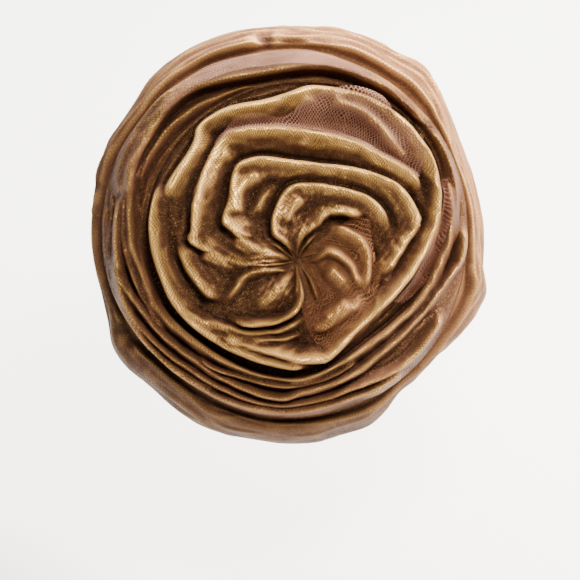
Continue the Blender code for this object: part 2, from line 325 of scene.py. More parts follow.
@dataclass
class FoldField:
    """The folds of one sheet, as a height over its plain form and a tilt of the crests."""

    crests: tuple[Crest, ...]
    seed: int
    level: float
    form: PuffForm = field(default_factory=PuffForm)
    roundness: float = 0.8
    waver: float = 0.14
    ripple: float = 1.2
    widen: float = 1.0
    gain: float = 1.0
    soften: float = 1.0

    def raised(self, x: Array, y: Array) -> tuple[Array, Array]:
        """Works out the folds.

        Args:
            x: places across, in millimetres from the rosette's centre.
            y: places up.

        Returns:
            The height at each place and its tilt across and up.
        """
        noise = LatticeNoise(self.seed)
        places = np.stack([x.ravel(), y.ravel()], axis=1)
        total = np.ones(x.size)
        tilt = np.zeros((x.size, 2))
        fine = np.zeros(x.size)
        trench = np.zeros(x.size)
        for number, crest in enumerate(self.crests):
            line, outward = crest.rooted(self.form, self.level + self.gain * crest.height)
            margin = 2.2 * max(crest.inner, crest.outer) * self.widen + 12.0 + 2.0 * crest.cap
            low, high = line.min(axis=0) - margin, line.max(axis=0) + margin
            chosen = np.nonzero(np.all((places > low) & (places < high), axis=1))[0]
            if not len(chosen):
                continue
            apart, way, square = self._nearest(places[chosen], line, outward)
            length = len(line) * 2.0
            outer = square > 0
            narrow = np.clip(np.hypot(*places[chosen].T) / 24.0, 0.28, 1.0)
            reach = np.where(outer, crest.outer, crest.inner) * self.widen * narrow
            taper = smooth((way + 3.0) / crest.start_taper) * smooth((length - way + 3.0) / crest.end_taper)
            own = 1.0 + self.waver * noise.at(way / 22.0, np.full(way.shape, 3.7 * number))
            round_top = (crest.cap or min(max(crest.height / 5.0, self.roundness), 2.5)) * narrow
            flank = np.hypot(apart, round_top) - round_top
            drop = np.clip(1.0 - flank / (2.1 * reach), 0.0, 1.0) ** 1.15
            weight = np.expm1(taper * own * self.gain * crest.height * np.sqrt(narrow) * drop / self.soften)
            total[chosen] += weight
            upper = smooth((drop * taper - 0.25) / 0.6)
            place = np.clip(way / 2.0, 0, len(line) - 1.001)
            whole = place.astype(int)
            part = (place - whole)[:, None]
            push = outward[whole] * (1 - part) + outward[whole + 1] * part
            tilt[chosen] += push * (crest.lean * upper * weight)[:, None]
            wave = noise.at(way / 30.0, np.full(way.shape, 3.7 * number + 20.0))
            pitch = 5.5 + 1.8 * math.sin(2.3 * number)
            lines = 0.6 - 1.2 * np.abs(np.sin(0.5 * TURN * apart / pitch + 2.5 * wave + number))
            fine[chosen] += self.ripple * taper * lines * smooth((apart - 1.5) / 3.0) * np.exp(-apart / 12.0) * narrow
            if crest.trench and self.widen == 1.0:
                steep = outer == (crest.outer < crest.inner)
                foot = 2.1 * min(crest.inner, crest.outer) + 1.5
                dive = np.exp(-(((apart - foot) / 2.5) ** 2)) * taper * crest.trench
                trench[chosen] = np.maximum(trench[chosen], np.where(steep, dive, 0.0))
        height = self.soften * np.log(total)
        keep = np.clip(1.0 - height / 9.0, 0.0, 1.0)
        height = height + fine - trench * keep
        tilt = tilt / total[:, None]
        return height.reshape(x.shape), tilt.reshape(*x.shape, 2)

    @staticmethod
    def _nearest(places: Array, line: Array, outward: Array) -> tuple[Array, Array, Array]:
        """Finds the nearest place on a crest.

        Args:
            places: the places to measure.
            line: the crest's points.
            outward: the way to the outer side at each.

        Returns:
            The distance, the way along the crest, and the side, positive for the outer one.
        """
        step = np.diff(line, axis=0)
        square = (step**2).sum(axis=1)
        best = np.full(len(places), 1e9)
        way = np.zeros(len(places))
        side = np.zeros(len(places))
        for k in range(len(step)):
            offset = places - line[k]
            part = np.clip(offset @ step[k] / square[k], 0.0, 1.0)
            away = offset - part[:, None] * step[k]
            apart = (away**2).sum(axis=1)
            nearer = apart < best
            best[nearer] = apart[nearer]
            way[nearer] = (k + part[nearer]) * 2.0
            side[nearer] = (away @ (outward[k] + outward[k + 1]))[nearer]
        return np.sqrt(best), way, side


@dataclass
class ClothGrid:
    """A grid of cloth points in millimetres, with its flat pattern and what its finish reads at each point."""

    points: Array
    pattern: Array
    # crest: painted light and shade share, from 0 in a valley to 1 on a crest.
    crest: Array
    veil: Array
    closed: bool = True
    pole: Array | None = None

    def build(self, name: str, wall: float = 0.0) -> bpy.types.Object:
        """Makes the grid an object.

        Args:
            name: the object's name.
            wall: thickness of the cloth in millimetres, or 0 for a single layer.

        Returns:
            The object, smooth shaded, with the UV map "cloth" and the attributes "crest", which carries painted light
            and shade, and "veil".
        """
        rows, columns = self.points.shape[:2]
        count = columns if self.closed else columns - 1
        row, column = np.meshgrid(np.arange(rows - 1), np.arange(count), indexing="ij")
        after = (column + 1) % columns
        quads = np.stack(
            [
                row * columns + column,
                (row + 1) * columns + column,
                (row + 1) * columns + after,
                row * columns + after,
            ],
            axis=-1,
        ).reshape(-1, 4)
        corner = np.stack(
            [
                self.pattern[row, column],
                self.pattern[row + 1, column],
                self.pattern[row + 1, column + 1],
                self.pattern[row, column + 1],
            ],
            axis=-2,
        ).reshape(-1, 2)
        vertices = self.points.reshape(-1, 3)
        marks = {"crest": self.crest.ravel(), "veil": self.veil.ravel()}
        faces = quads.tolist()
        if self.pole is not None:
            vertices = np.concatenate([vertices, self.pole[None]])
            marks = {title: np.concatenate([values, values[:1]]) for title, values in marks.items()}
            tip = len(vertices) - 1
            faces += [[tip, k, (k + 1) % columns] for k in range(columns)]
            ring = np.stack([np.zeros((columns, 2)), self.pattern[0, :-1], self.pattern[0, 1:]], axis=1)
            corner = np.concatenate([corner, ring.reshape(-1, 2)])
        mesh = bpy.data.meshes.new(name)
        mesh.from_pydata((vertices * MM).tolist(), [], faces)
        mesh.uv_layers.new(name="cloth").uv.foreach_set("vector", corner.astype(np.float32).ravel())
        for title, values in marks.items():
            mesh.attributes.new(title, "FLOAT", "POINT").data.foreach_set("value", values.astype(np.float32))
        mesh.shade_smooth()
        obj = bpy.data.objects.new(name, mesh)
        bpy.context.collection.objects.link(obj)
        if wall:
            solid = obj.modifiers.new("wall", "SOLIDIFY")
            solid.thickness = wall * MM
            solid.offset = -1.0
        return obj

    def area(self) -> float:
        """Gives the cloth's area in square metres."""
        points = np.concatenate([self.points, self.points[:, :1]], axis=1) if self.closed else self.points
        down = np.diff(points, axis=0)[:, :-1]
        over = np.diff(points, axis=1)[:-1]
        return float(np.linalg.norm(np.cross(down, over), axis=-1).sum()) * MM * MM


def relief(heights: Array, reach: tuple[int, int], scale: float) -> Array:
    """Tells how far a grid of cloth stands over its own neighbourhood.

    Args:
        heights: the cloth's heights over the form, in a grid whose columns go right round.
        reach: how many rows, and how many columns, the neighbourhood spans each way.
        scale: height that counts as a full ridge or valley.

    Returns:
        A share from 0, in a valley, through a half to 1, on a ridge.
    """
    rows, columns = reach
    window = np.hanning(2 * columns + 3)[1:-1]
    even = np.concatenate([heights[:, -columns:], heights, heights[:, :columns]], axis=1)
    even = np.apply_along_axis(np.convolve, 1, even, window / window.sum(), "valid")
    window = np.hanning(2 * rows + 3)[1:-1]
    even = np.pad(even, ((rows, rows), (0, 0)), mode="edge")
    even = np.apply_along_axis(np.convolve, 0, even, window / window.sum(), "valid")
    return 0.5 + 0.5 * np.tanh((heights - even) / scale)


def steepness(points: Array, out: Array, closed: bool = True) -> Array:
    """Tells how steeply a grid of cloth stands on the form under it.

    Args:
        points: the cloth's points.
        out: the way out of the form at each.
        closed: whether the grid's columns go right round.

    Returns:
        A share from 0, flat, to 1, steep.
    """
    down = np.gradient(points, axis=0)
    over = np.gradient(points, axis=1)
    if closed:
        over = 0.5 * (np.roll(points, -1, axis=1) - np.roll(points, 1, axis=1))
    flat = np.abs((unit(np.cross(down, over) + 1e-9) * out).sum(axis=-1))
    return smooth((0.93 - flat) / 0.55)


def ring_pattern(points: Array, start: Array | float, polar: bool, girth: float = 0.0) -> Array:
    """Maps a closed grid flat, in millimetres, by the way along each column.

    Args:
        points: the grid's points.
        start: the way already covered at the first row.
        polar: whether the map spreads round a centre, or is a band of the given girth.
        girth: length of the band.

    Returns:
        The map, with one column more than the grid, for the seam.
    """
    rows, columns = points.shape[:2]
    steps = np.linalg.norm(np.diff(points, axis=0), axis=-1)
    way = np.concatenate([np.zeros((1, columns)), np.cumsum(steps, axis=0)]) + start
    way = np.concatenate([way, way[:, :1]], axis=1)
    turn = np.broadcast_to(np.arange(columns + 1) / columns, way.shape)
    if polar:
        return np.stack([way * np.cos(TURN * turn), way * np.sin(TURN * turn)], axis=-1)
    return np.stack([girth * turn, way], axis=-1)


class Graph:
    """A node tree under construction, with short calls that add and wire nodes."""

    def __init__(self, tree: bpy.types.NodeTree) -> None:
        """Takes the tree to fill.

        Args:
            tree: a shader or geometry node tree.
        """
        self.tree = tree

    def add(self, kind: str, inputs: dict[str | int, object] | None = None, **settings: object) -> bpy.types.Node:
        """Adds a node.

        Args:
            kind: the node's type.
            inputs: values or sockets for its inputs, by name or number.
            settings: its other properties.

        Returns:
            The node.
        """
        node = self.tree.nodes.new(kind)
        for key, value in settings.items():
            setattr(node, key, value)
        for key, value in (inputs or {}).items():
            socket = node.inputs[key]
            if isinstance(value, bpy.types.NodeSocket):
                self.tree.links.new(value, socket)
            else:
                socket.default_value = value
        return node

    def math(self, operation: str, *values: object) -> bpy.types.NodeSocket:
        """Adds a Math node and gives its result."""
        return self.add("ShaderNodeMath", dict(enumerate(values)), operation=operation).outputs[0]

    def vector(self, operation: str, *values: object) -> bpy.types.NodeSocket:
        """Adds a Vector Math node and gives its result."""
        node = self.add("ShaderNodeVectorMath", dict(enumerate(values)), operation=operation)
        return node.outputs[1 if operation == "DOT_PRODUCT" else 0]

    def scaled(self, value: object, amount: object) -> bpy.types.NodeSocket:
        """Scales a vector."""
        return self.add("ShaderNodeVectorMath", {0: value, 3: amount}, operation="SCALE").outputs[0]

    def mix(self, share: object, low: object, high: object) -> bpy.types.NodeSocket:
        """Adds a colour Mix node and gives its result."""
        return self.add("ShaderNodeMix", {0: share, 6: low, 7: high}, data_type="RGBA", clamp_factor=True).outputs[2]

    def spread(self, value: object, low: object, high: object, to_low: float, to_high: float) -> bpy.types.NodeSocket:
        """Adds a clamped Map Range node and gives its result."""
        inputs = {0: value, 1: low, 2: high, 3: to_low, 4: to_high}
        return self.add("ShaderNodeMapRange", inputs).outputs[0]

    def wire(self, source: bpy.types.NodeSocket, target: bpy.types.NodeSocket) -> None:
        """Links two sockets."""
        self.tree.links.new(source, target)


class EffectGroup(Enum):
    """The shared effects that the finishes use."""

    LAME = "lame_glitter"
    NET = "tulle_net"
    KNIT = "jersey_rib"


class Effects:
    """Builds each shared shader group once."""

    def __init__(self) -> None:
        """Starts with no group built."""
        self.built: dict[EffectGroup, bpy.types.NodeTree] = {}

    def get(self, group: EffectGroup) -> bpy.types.NodeTree:
        """Gives the group, building it at its first use."""
        if group not in self.built:
            makers = {EffectGroup.LAME: self._lame, EffectGroup.NET: self._net, EffectGroup.KNIT: self._knit}
            self.built[group] = makers[group](group.value)
        return self.built[group]

    @staticmethod
    def _group(
        name: str, inputs: dict[str, tuple[str, object]], outputs: dict[str, str]
    ) -> tuple[Graph, bpy.types.NodeInputs, bpy.types.NodeInputs]:
        """Starts a group.

        Args:
            name: its name.
            inputs: the type and the default of each input.
            outputs: the type of each output.

        Returns:
            Its graph, its given sockets and its result's sockets.
        """
        tree = bpy.data.node_groups.new(name, "ShaderNodeTree")
        for title, (kind, value) in inputs.items():
            socket = tree.interface.new_socket(title, in_out="INPUT", socket_type="NodeSocket" + kind)
            if value is not None:
                socket.default_value = value
        for title, kind in outputs.items():
            tree.interface.new_socket(title, in_out="OUTPUT", socket_type="NodeSocket" + kind)
        graph = Graph(tree)
        return graph, graph.add("NodeGroupInput").outputs, graph.add("NodeGroupOutput").inputs

    def _lame(self, name: str) -> bpy.types.NodeTree:
        """Builds the lame's film threads: a fine twill, glitter, and painted light and shade, the tone running from
        the Dark Tone in valleys to the Light Tone on crests as the Crest input says, with painted glints in random
        cells.
        """
        graph, given, result = self._group(
            name,
            {
                "Vector": ("Vector", None),
                # Light, Middle and Dark Tone are lit, half-lit and shaded copies of one colour: painted light and
                # shade.
                "Light Tone": ("Color", (0.5, 0.3, 0.1, 1)),
                "Middle Tone": ("Color", (0.2, 0.1, 0.03, 1)),
                "Dark Tone": ("Color", (0.1, 0.05, 0.02, 1)),
                "Thread Pitch": ("Float", 0.9),
                "Glitter": ("Float", 0.5),
                "Crest": ("Float", 0.5),
            },
            {"Color": "Color", "Height": "Float", "Roughness": "Float", "Tilt": "Vector"},
        )
        place = graph.vector("DIVIDE", given["Vector"], given["Thread Pitch"])
        cells = graph.add("ShaderNodeTexVoronoi", {"Vector": place, "Scale": 1.0}, voronoi_dimensions="2D")
        spark = graph.add("ShaderNodeSeparateColor", {0: cells.outputs["Color"]}).outputs
        broad = graph.add("ShaderNodeTexNoise", {"Vector": given["Vector"], "Scale": 0.045, "Detail": 3.0})
        ply = graph.add(
            "ShaderNodeTexWave", {"Vector": place, "Scale": 0.32, "Distortion": 1.0}, bands_direction="DIAGONAL"
        )
        # Glitter cells are lifted towards the Light Tone as painted glints.
        glint = graph.math("MULTIPLY", graph.spread(spark[0], 0.8, 0.95, 0.0, 1.0), given["Glitter"])
        # Painted light and shade: the Crest share, with a little noise, picks the tone, dark in valleys and light on
        # crests.
        painted_shade_and_mottle = graph.math("ADD", graph.spread(broad.outputs[0], 0.35, 0.65, -0.04, 0.04), given["Crest"])
        low = graph.spread(painted_shade_and_mottle, 0.05, 0.5, 0.0, 1.0)
        high = graph.math("ADD", graph.spread(painted_shade_and_mottle, 0.46, 0.9, 0.0, 1.0), glint)
        painted_light_and_shade_tone = graph.mix(high, graph.mix(low, given["Dark Tone"], given["Middle Tone"]), given["Light Tone"])
        relief = graph.math("MULTIPLY_ADD", spark[1], 0.6, ply.outputs["Fac"])
        centred = graph.vector("SUBTRACT", cells.outputs["Color"], (0.5, 0.5, 0.5))
        graph.wire(painted_light_and_shade_tone, result["Color"])
        graph.wire(relief, result["Height"])
        graph.wire(graph.spread(spark[2], 0.0, 1.0, 0.28, 0.46), result["Roughness"])
        graph.wire(graph.scaled(centred, given["Glitter"]), result["Tilt"])
        return graph.tree

    def _net(self, name: str) -> bpy.types.NodeTree:
        """Builds the tulle's net: threads on two slants round open cells."""
        graph, given, result = self._group(
            name,
            {
                "Vector": ("Vector", None),
                "Cell": ("Float", 1.7),
                "Thread": ("Float", 0.24),
                "Haze": ("Float", 0.15),
                "Main Tone": ("Color", (0.2, 0.09, 0.05, 1)),
                "Second Tone": ("Color", (0.4, 0.25, 0.22, 1)),
            },
            {"Color": "Color", "Mask": "Float", "Height": "Float"},
        )
        wander = graph.add("ShaderNodeTexNoise", {"Vector": given["Vector"], "Scale": 0.05, "Detail": 2.0})
        bend = graph.scaled(wander.outputs["Color"], 8.0)
        place = graph.vector("DIVIDE", graph.vector("ADD", given["Vector"], bend), given["Cell"])
        axes = graph.add("ShaderNodeSeparateXYZ", {0: place}).outputs
        threads = []
        for slant in (0.62, -0.62):
            line = graph.math("MULTIPLY_ADD", axes[1], slant, axes[0])
            beat = graph.math("ABSOLUTE", graph.math("SUBTRACT", graph.math("FRACT", line), 0.5))
            threads.append(graph.spread(beat, graph.math("SUBTRACT", 0.5, given["Thread"]), 0.5, 0.0, 1.0))
        net = graph.math("MAXIMUM", *threads)
        solid = graph.math("MINIMUM", graph.math("MULTIPLY", net, 2.0), 1.0)
        broad = graph.add("ShaderNodeTexNoise", {"Vector": given["Vector"], "Scale": 0.03, "Detail": 2.0})
        share = graph.spread(broad.outputs[0], 0.4, 0.62, 0.0, 1.0)
        graph.wire(graph.mix(share, given["Main Tone"], given["Second Tone"]), result["Color"])
        graph.wire(graph.math("MAXIMUM", solid, given["Haze"]), result["Mask"])
        graph.wire(net, result["Height"])
        return graph.tree

    def _knit(self, name: str) -> bpy.types.NodeTree:
        """Builds the cap's jersey: fine ribs of stitches with a little fuzz."""
        graph, given, result = self._group(
            name,
            {"Vector": ("Vector", None), "Rib": ("Float", 1.6), "Tone": ("Color", (0.1, 0.05, 0.03, 1))},
            {"Color": "Color", "Height": "Float"},
        )
        place = graph.vector("DIVIDE", given["Vector"], given["Rib"])
        rib = graph.add("ShaderNodeTexWave", {"Vector": place, "Scale": 0.16, "Distortion": 0.6})
        fuzz = graph.add("ShaderNodeTexNoise", {"Vector": place, "Scale": 1.5, "Detail": 3.0})
        share = graph.math("MULTIPLY", rib.outputs["Fac"], fuzz.outputs[0])
        light = graph.vector("MULTIPLY", given["Tone"], (1.7, 1.6, 1.6))
        graph.wire(graph.mix(share, given["Tone"], light), result["Color"])
        graph.wire(share, result["Height"])
        return graph.tree


def new_material(name: str) -> tuple[bpy.types.Material, Graph, bpy.types.Node]:
    """Starts a material.

    Args:
        name: its name.

    Returns:
        The material, its graph and its Principled shader.
    """
    made = bpy.data.materials.new(name)
    made.use_nodes = True
    return made, Graph(made.node_tree), made.node_tree.nodes["Principled BSDF"]


@dataclass(frozen=True)
class TulleFinish:
    """Sheer net: fine threads that let what is behind them through."""

    name: str
    main: tuple[float, float, float]
    second: tuple[float, float, float]
    cell: float = 1.6
    thread: float = 0.14
    haze: float = 0.03
    sheen: float = 0.04

    def net(self, graph: Graph, effects: Effects) -> bpy.types.NodeOutputs:
        """Adds the net to a material's graph and gives its outputs."""
        cloth = graph.add("ShaderNodeUVMap", uv_map="cloth")
        inputs = {
            "Vector": cloth.outputs[0],
            "Cell": self.cell,
            "Thread": self.thread,
            "Haze": self.haze,
            "Main Tone": (*self.main, 1.0),
            "Second Tone": (*self.second, 1.0),
        }
        node = graph.add("ShaderNodeGroup", node_tree=effects.get(EffectGroup.NET))
        for title, value in inputs.items():
            if isinstance(value, bpy.types.NodeSocket):
                graph.wire(value, node.inputs[title])
            else:
                node.inputs[title].default_value = value
        return node.outputs

    def make(self, effects: Effects) -> bpy.types.Material:
        """Builds the material of a free flap of net."""
        made, graph, shader = new_material(self.name)
        net = self.net(graph, effects)
        bump = graph.add("ShaderNodeBump", {"Height": net["Height"], "Strength": 0.3, "Distance": 0.0003})
        graph.wire(net["Color"], shader.inputs["Base Color"])
        graph.wire(net["Mask"], shader.inputs["Alpha"])
        graph.wire(bump.outputs[0], shader.inputs["Normal"])
        shader.inputs["Roughness"].default_value = 0.6
        shader.inputs["Specular IOR Level"].default_value = 0.12
        shader.inputs["Sheen Weight"].default_value = self.sheen
        return made


@dataclass(frozen=True)
class LameFinish:
    """Gold lame with the net stretched over it: brown net on the steep sides, and painted light and shade: the film is
    painted light on the crests and dark in the valleys, and the net is painted darker in the valleys.
    """

    name: str
    # light, middle and dark: lit, half-lit and shaded copies of the lame's colour, laid on by the crest attribute as
    # painted light and shade.
    light: tuple[float, float, float]
    middle: tuple[float, float, float]
    dark: tuple[float, float, float]
    net: TulleFinish
    cover: float = 0.55
    veil_cover: float = 0.75
    metal: float = 0.9
    thread_pitch: float = 0.8
    glitter: float = 0.5
    dull: float = 0.0
    # fade: painted light; the colour is scaled from the first number to the second as the surface rises towards the
    # top right.
    fade: tuple[float, float] = (1.0, 1.0)

    def make(self, effects: Effects) -> bpy.types.Material:
        """Builds the material."""
        made, graph, shader = new_material(self.name)
        cloth = graph.add("ShaderNodeUVMap", uv_map="cloth")
        # The crest attribute carries painted light and shade: high on crests and high faces, low in valleys.
        crest = graph.add("ShaderNodeAttribute", attribute_name="crest").outputs["Fac"]
        veil = graph.add("ShaderNodeAttribute", attribute_name="veil").outputs["Fac"]
        film = graph.add("ShaderNodeGroup", node_tree=effects.get(EffectGroup.LAME))
        for title, value in (
            ("Light Tone", (*self.light, 1.0)),
            ("Middle Tone", (*self.middle, 1.0)),
            ("Dark Tone", (*self.dark, 1.0)),
            ("Thread Pitch", self.thread_pitch),
            ("Glitter", self.glitter),
        ):
            film.inputs[title].default_value = value
        graph.wire(cloth.outputs[0], film.inputs["Vector"])
        graph.wire(crest, film.inputs["Crest"])
        net = self.net.net(graph, effects)
        over = graph.math("MULTIPLY", net["Mask"], self.cover)
        over = graph.math("MAXIMUM", over, graph.math("MULTIPLY", veil, self.veil_cover))
        # Painted shade: the net's colour is darkened in the valleys, where the crest attribute is low.
        depth = graph.spread(crest, 0.05, 0.55, 0.3, 1.0)
        tulle = graph.scaled(net["Color"], depth)
        colour = graph.mix(over, film.outputs["Color"], tulle)
        # Painted light: lighter towards the top right and darker towards the lower left, by place on the object.
        if self.fade[0] != self.fade[1]:
            place = graph.add("ShaderNodeTexCoord").outputs["Object"]
            rise = graph.vector("DOT_PRODUCT", place, (0.5, 0.0, 0.87))
            colour = graph.scaled(colour, graph.spread(rise, 0.0, 0.19, *self.fade))
        graph.wire(colour, shader.inputs["Base Color"])
        graph.wire(graph.spread(over, 0.0, 1.0, self.metal, 0.0), shader.inputs["Metallic"])
        rough = graph.math("MULTIPLY_ADD", over, 0.3, graph.math("ADD", film.outputs["Roughness"], self.dull))
        graph.wire(rough, shader.inputs["Roughness"])
        relief = graph.math("MULTIPLY_ADD", net["Height"], 0.8, film.outputs["Height"])
        bump = graph.add("ShaderNodeBump", {"Height": relief, "Strength": 0.6, "Distance": 0.0005})
        turned = graph.vector("ADD", bump.outputs[0], graph.scaled(film.outputs["Tilt"], 0.9))
        graph.wire(graph.vector("NORMALIZE", turned), shader.inputs["Normal"])
        shader.inputs["Specular IOR Level"].default_value = 0.15
        return made


@dataclass(frozen=True)
class JerseyFinish:
    """The cap's brown jersey."""

    name: str
    tone: tuple[float, float, float]

    def make(self, effects: Effects) -> bpy.types.Material:
        """Builds the material."""
        made, graph, shader = new_material(self.name)
        place = graph.add("ShaderNodeTexCoord").outputs["Object"]
        knit = graph.add("ShaderNodeGroup", node_tree=effects.get(EffectGroup.KNIT))
        graph.wire(graph.scaled(place, 1000.0), knit.inputs["Vector"])
        knit.inputs["Tone"].default_value = (*self.tone, 1.0)
        bump = graph.add("ShaderNodeBump", {"Height": knit.outputs["Height"], "Strength": 0.5, "Distance": 0.0006})
        graph.wire(knit.outputs["Color"], shader.inputs["Base Color"])
        graph.wire(bump.outputs[0], shader.inputs["Normal"])
        shader.inputs["Roughness"].default_value = 0.85
        return made


@dataclass(frozen=True)
class ThreadFinish:
    """The brown sewing thread, twisted along its own length."""

    name: str
    tone: tuple[float, float, float]

    def make(self) -> bpy.types.Material:
        """Builds the material."""
        made, graph, shader = new_material(self.name)
        place = graph.scaled(graph.add("ShaderNodeTexCoord").outputs["Object"], 1000.0)
        twist = graph.add("ShaderNodeTexWave", {"Vector": place, "Scale": 0.9, "Distortion": 0.5}, bands_direction="DIAGONAL")
        dark = tuple(0.6 * part for part in self.tone)
        graph.wire(graph.mix(twist.outputs["Fac"], (*dark, 1.0), (*self.tone, 1.0)), shader.inputs["Base Color"])
        bump = graph.add("ShaderNodeBump", {"Height": twist.outputs["Fac"], "Strength": 0.4, "Distance": 0.0002})
        graph.wire(bump.outputs[0], shader.inputs["Normal"])
        shader.inputs["Roughness"].default_value = 0.5
        return made


BROWN_NET = TulleFinish("tulle_brown", (0.10, 0.034, 0.018), (0.15, 0.054, 0.030), cell=2.5, thread=0.2)
FAN_NET = TulleFinish("tulle_copper", (0.20, 0.075, 0.030), (0.28, 0.12, 0.050), cell=2.3, thread=0.1)
MAUVE_NET = TulleFinish("tulle_mauve", (0.18, 0.078, 0.048), (0.30, 0.15, 0.10), cell=2.3, thread=0.15)
# The light, middle and dark tones are lit, half-lit and shaded copies of one colour: painted light and shade.
GOLD = LameFinish(
    "lame_gold", (0.78, 0.48, 0.12), (0.088, 0.044, 0.017), (0.012, 0.0045, 0.002), BROWN_NET, cover=0.85,
    veil_cover=0.7, metal=0.85, thread_pitch=0.65, glitter=0.3,
)  # fmt: skip
# ROSE_GOLD's fade is painted light: darker low and to the left, up to twice as light at the top right.
ROSE_GOLD = LameFinish(
    "lame_rose_gold", (0.44, 0.26, 0.085), (0.085, 0.038, 0.015), (0.016, 0.006, 0.003), BROWN_NET,
    cover=0.6, veil_cover=0.3, metal=0.45, thread_pitch=0.7, glitter=0.15, dull=0.2, fade=(0.7, 2.0),
)  # fmt: skip
JERSEY = JerseyFinish("cap_jersey", (0.06, 0.03, 0.02))
THREAD = ThreadFinish("sewing_thread", (0.08, 0.03, 0.018))


OUTLINE = Loop(
    (0, 15, 30, 40, 45, 50, 57, 64, 75, 90, 104, 119, 129, 136, 149, 158, 165, 172, 180, 190, 197, 205, 211,
     218, 240, 255, 270, 285, 295, 300, 308, 315, 322, 330, 337, 345, 352),
    (130, 132.5, 138, 145, 151, 157.5, 164, 164, 167, 166, 167, 167.5, 165, 160, 158, 154, 150, 147, 143.5,
     140, 140.5, 144.5, 143.5, 139, 136, 131, 130, 128.5, 128, 125, 119, 119, 119.5, 121, 125, 130, 133.5),
)  # fmt: skip
ROSETTE_EDGE = eight(91, 122, 123, 116, 102, 82, 77, 70)
COIL_EDGE = eight(115, 133, 146, 146, 132, 114, 108, 107)

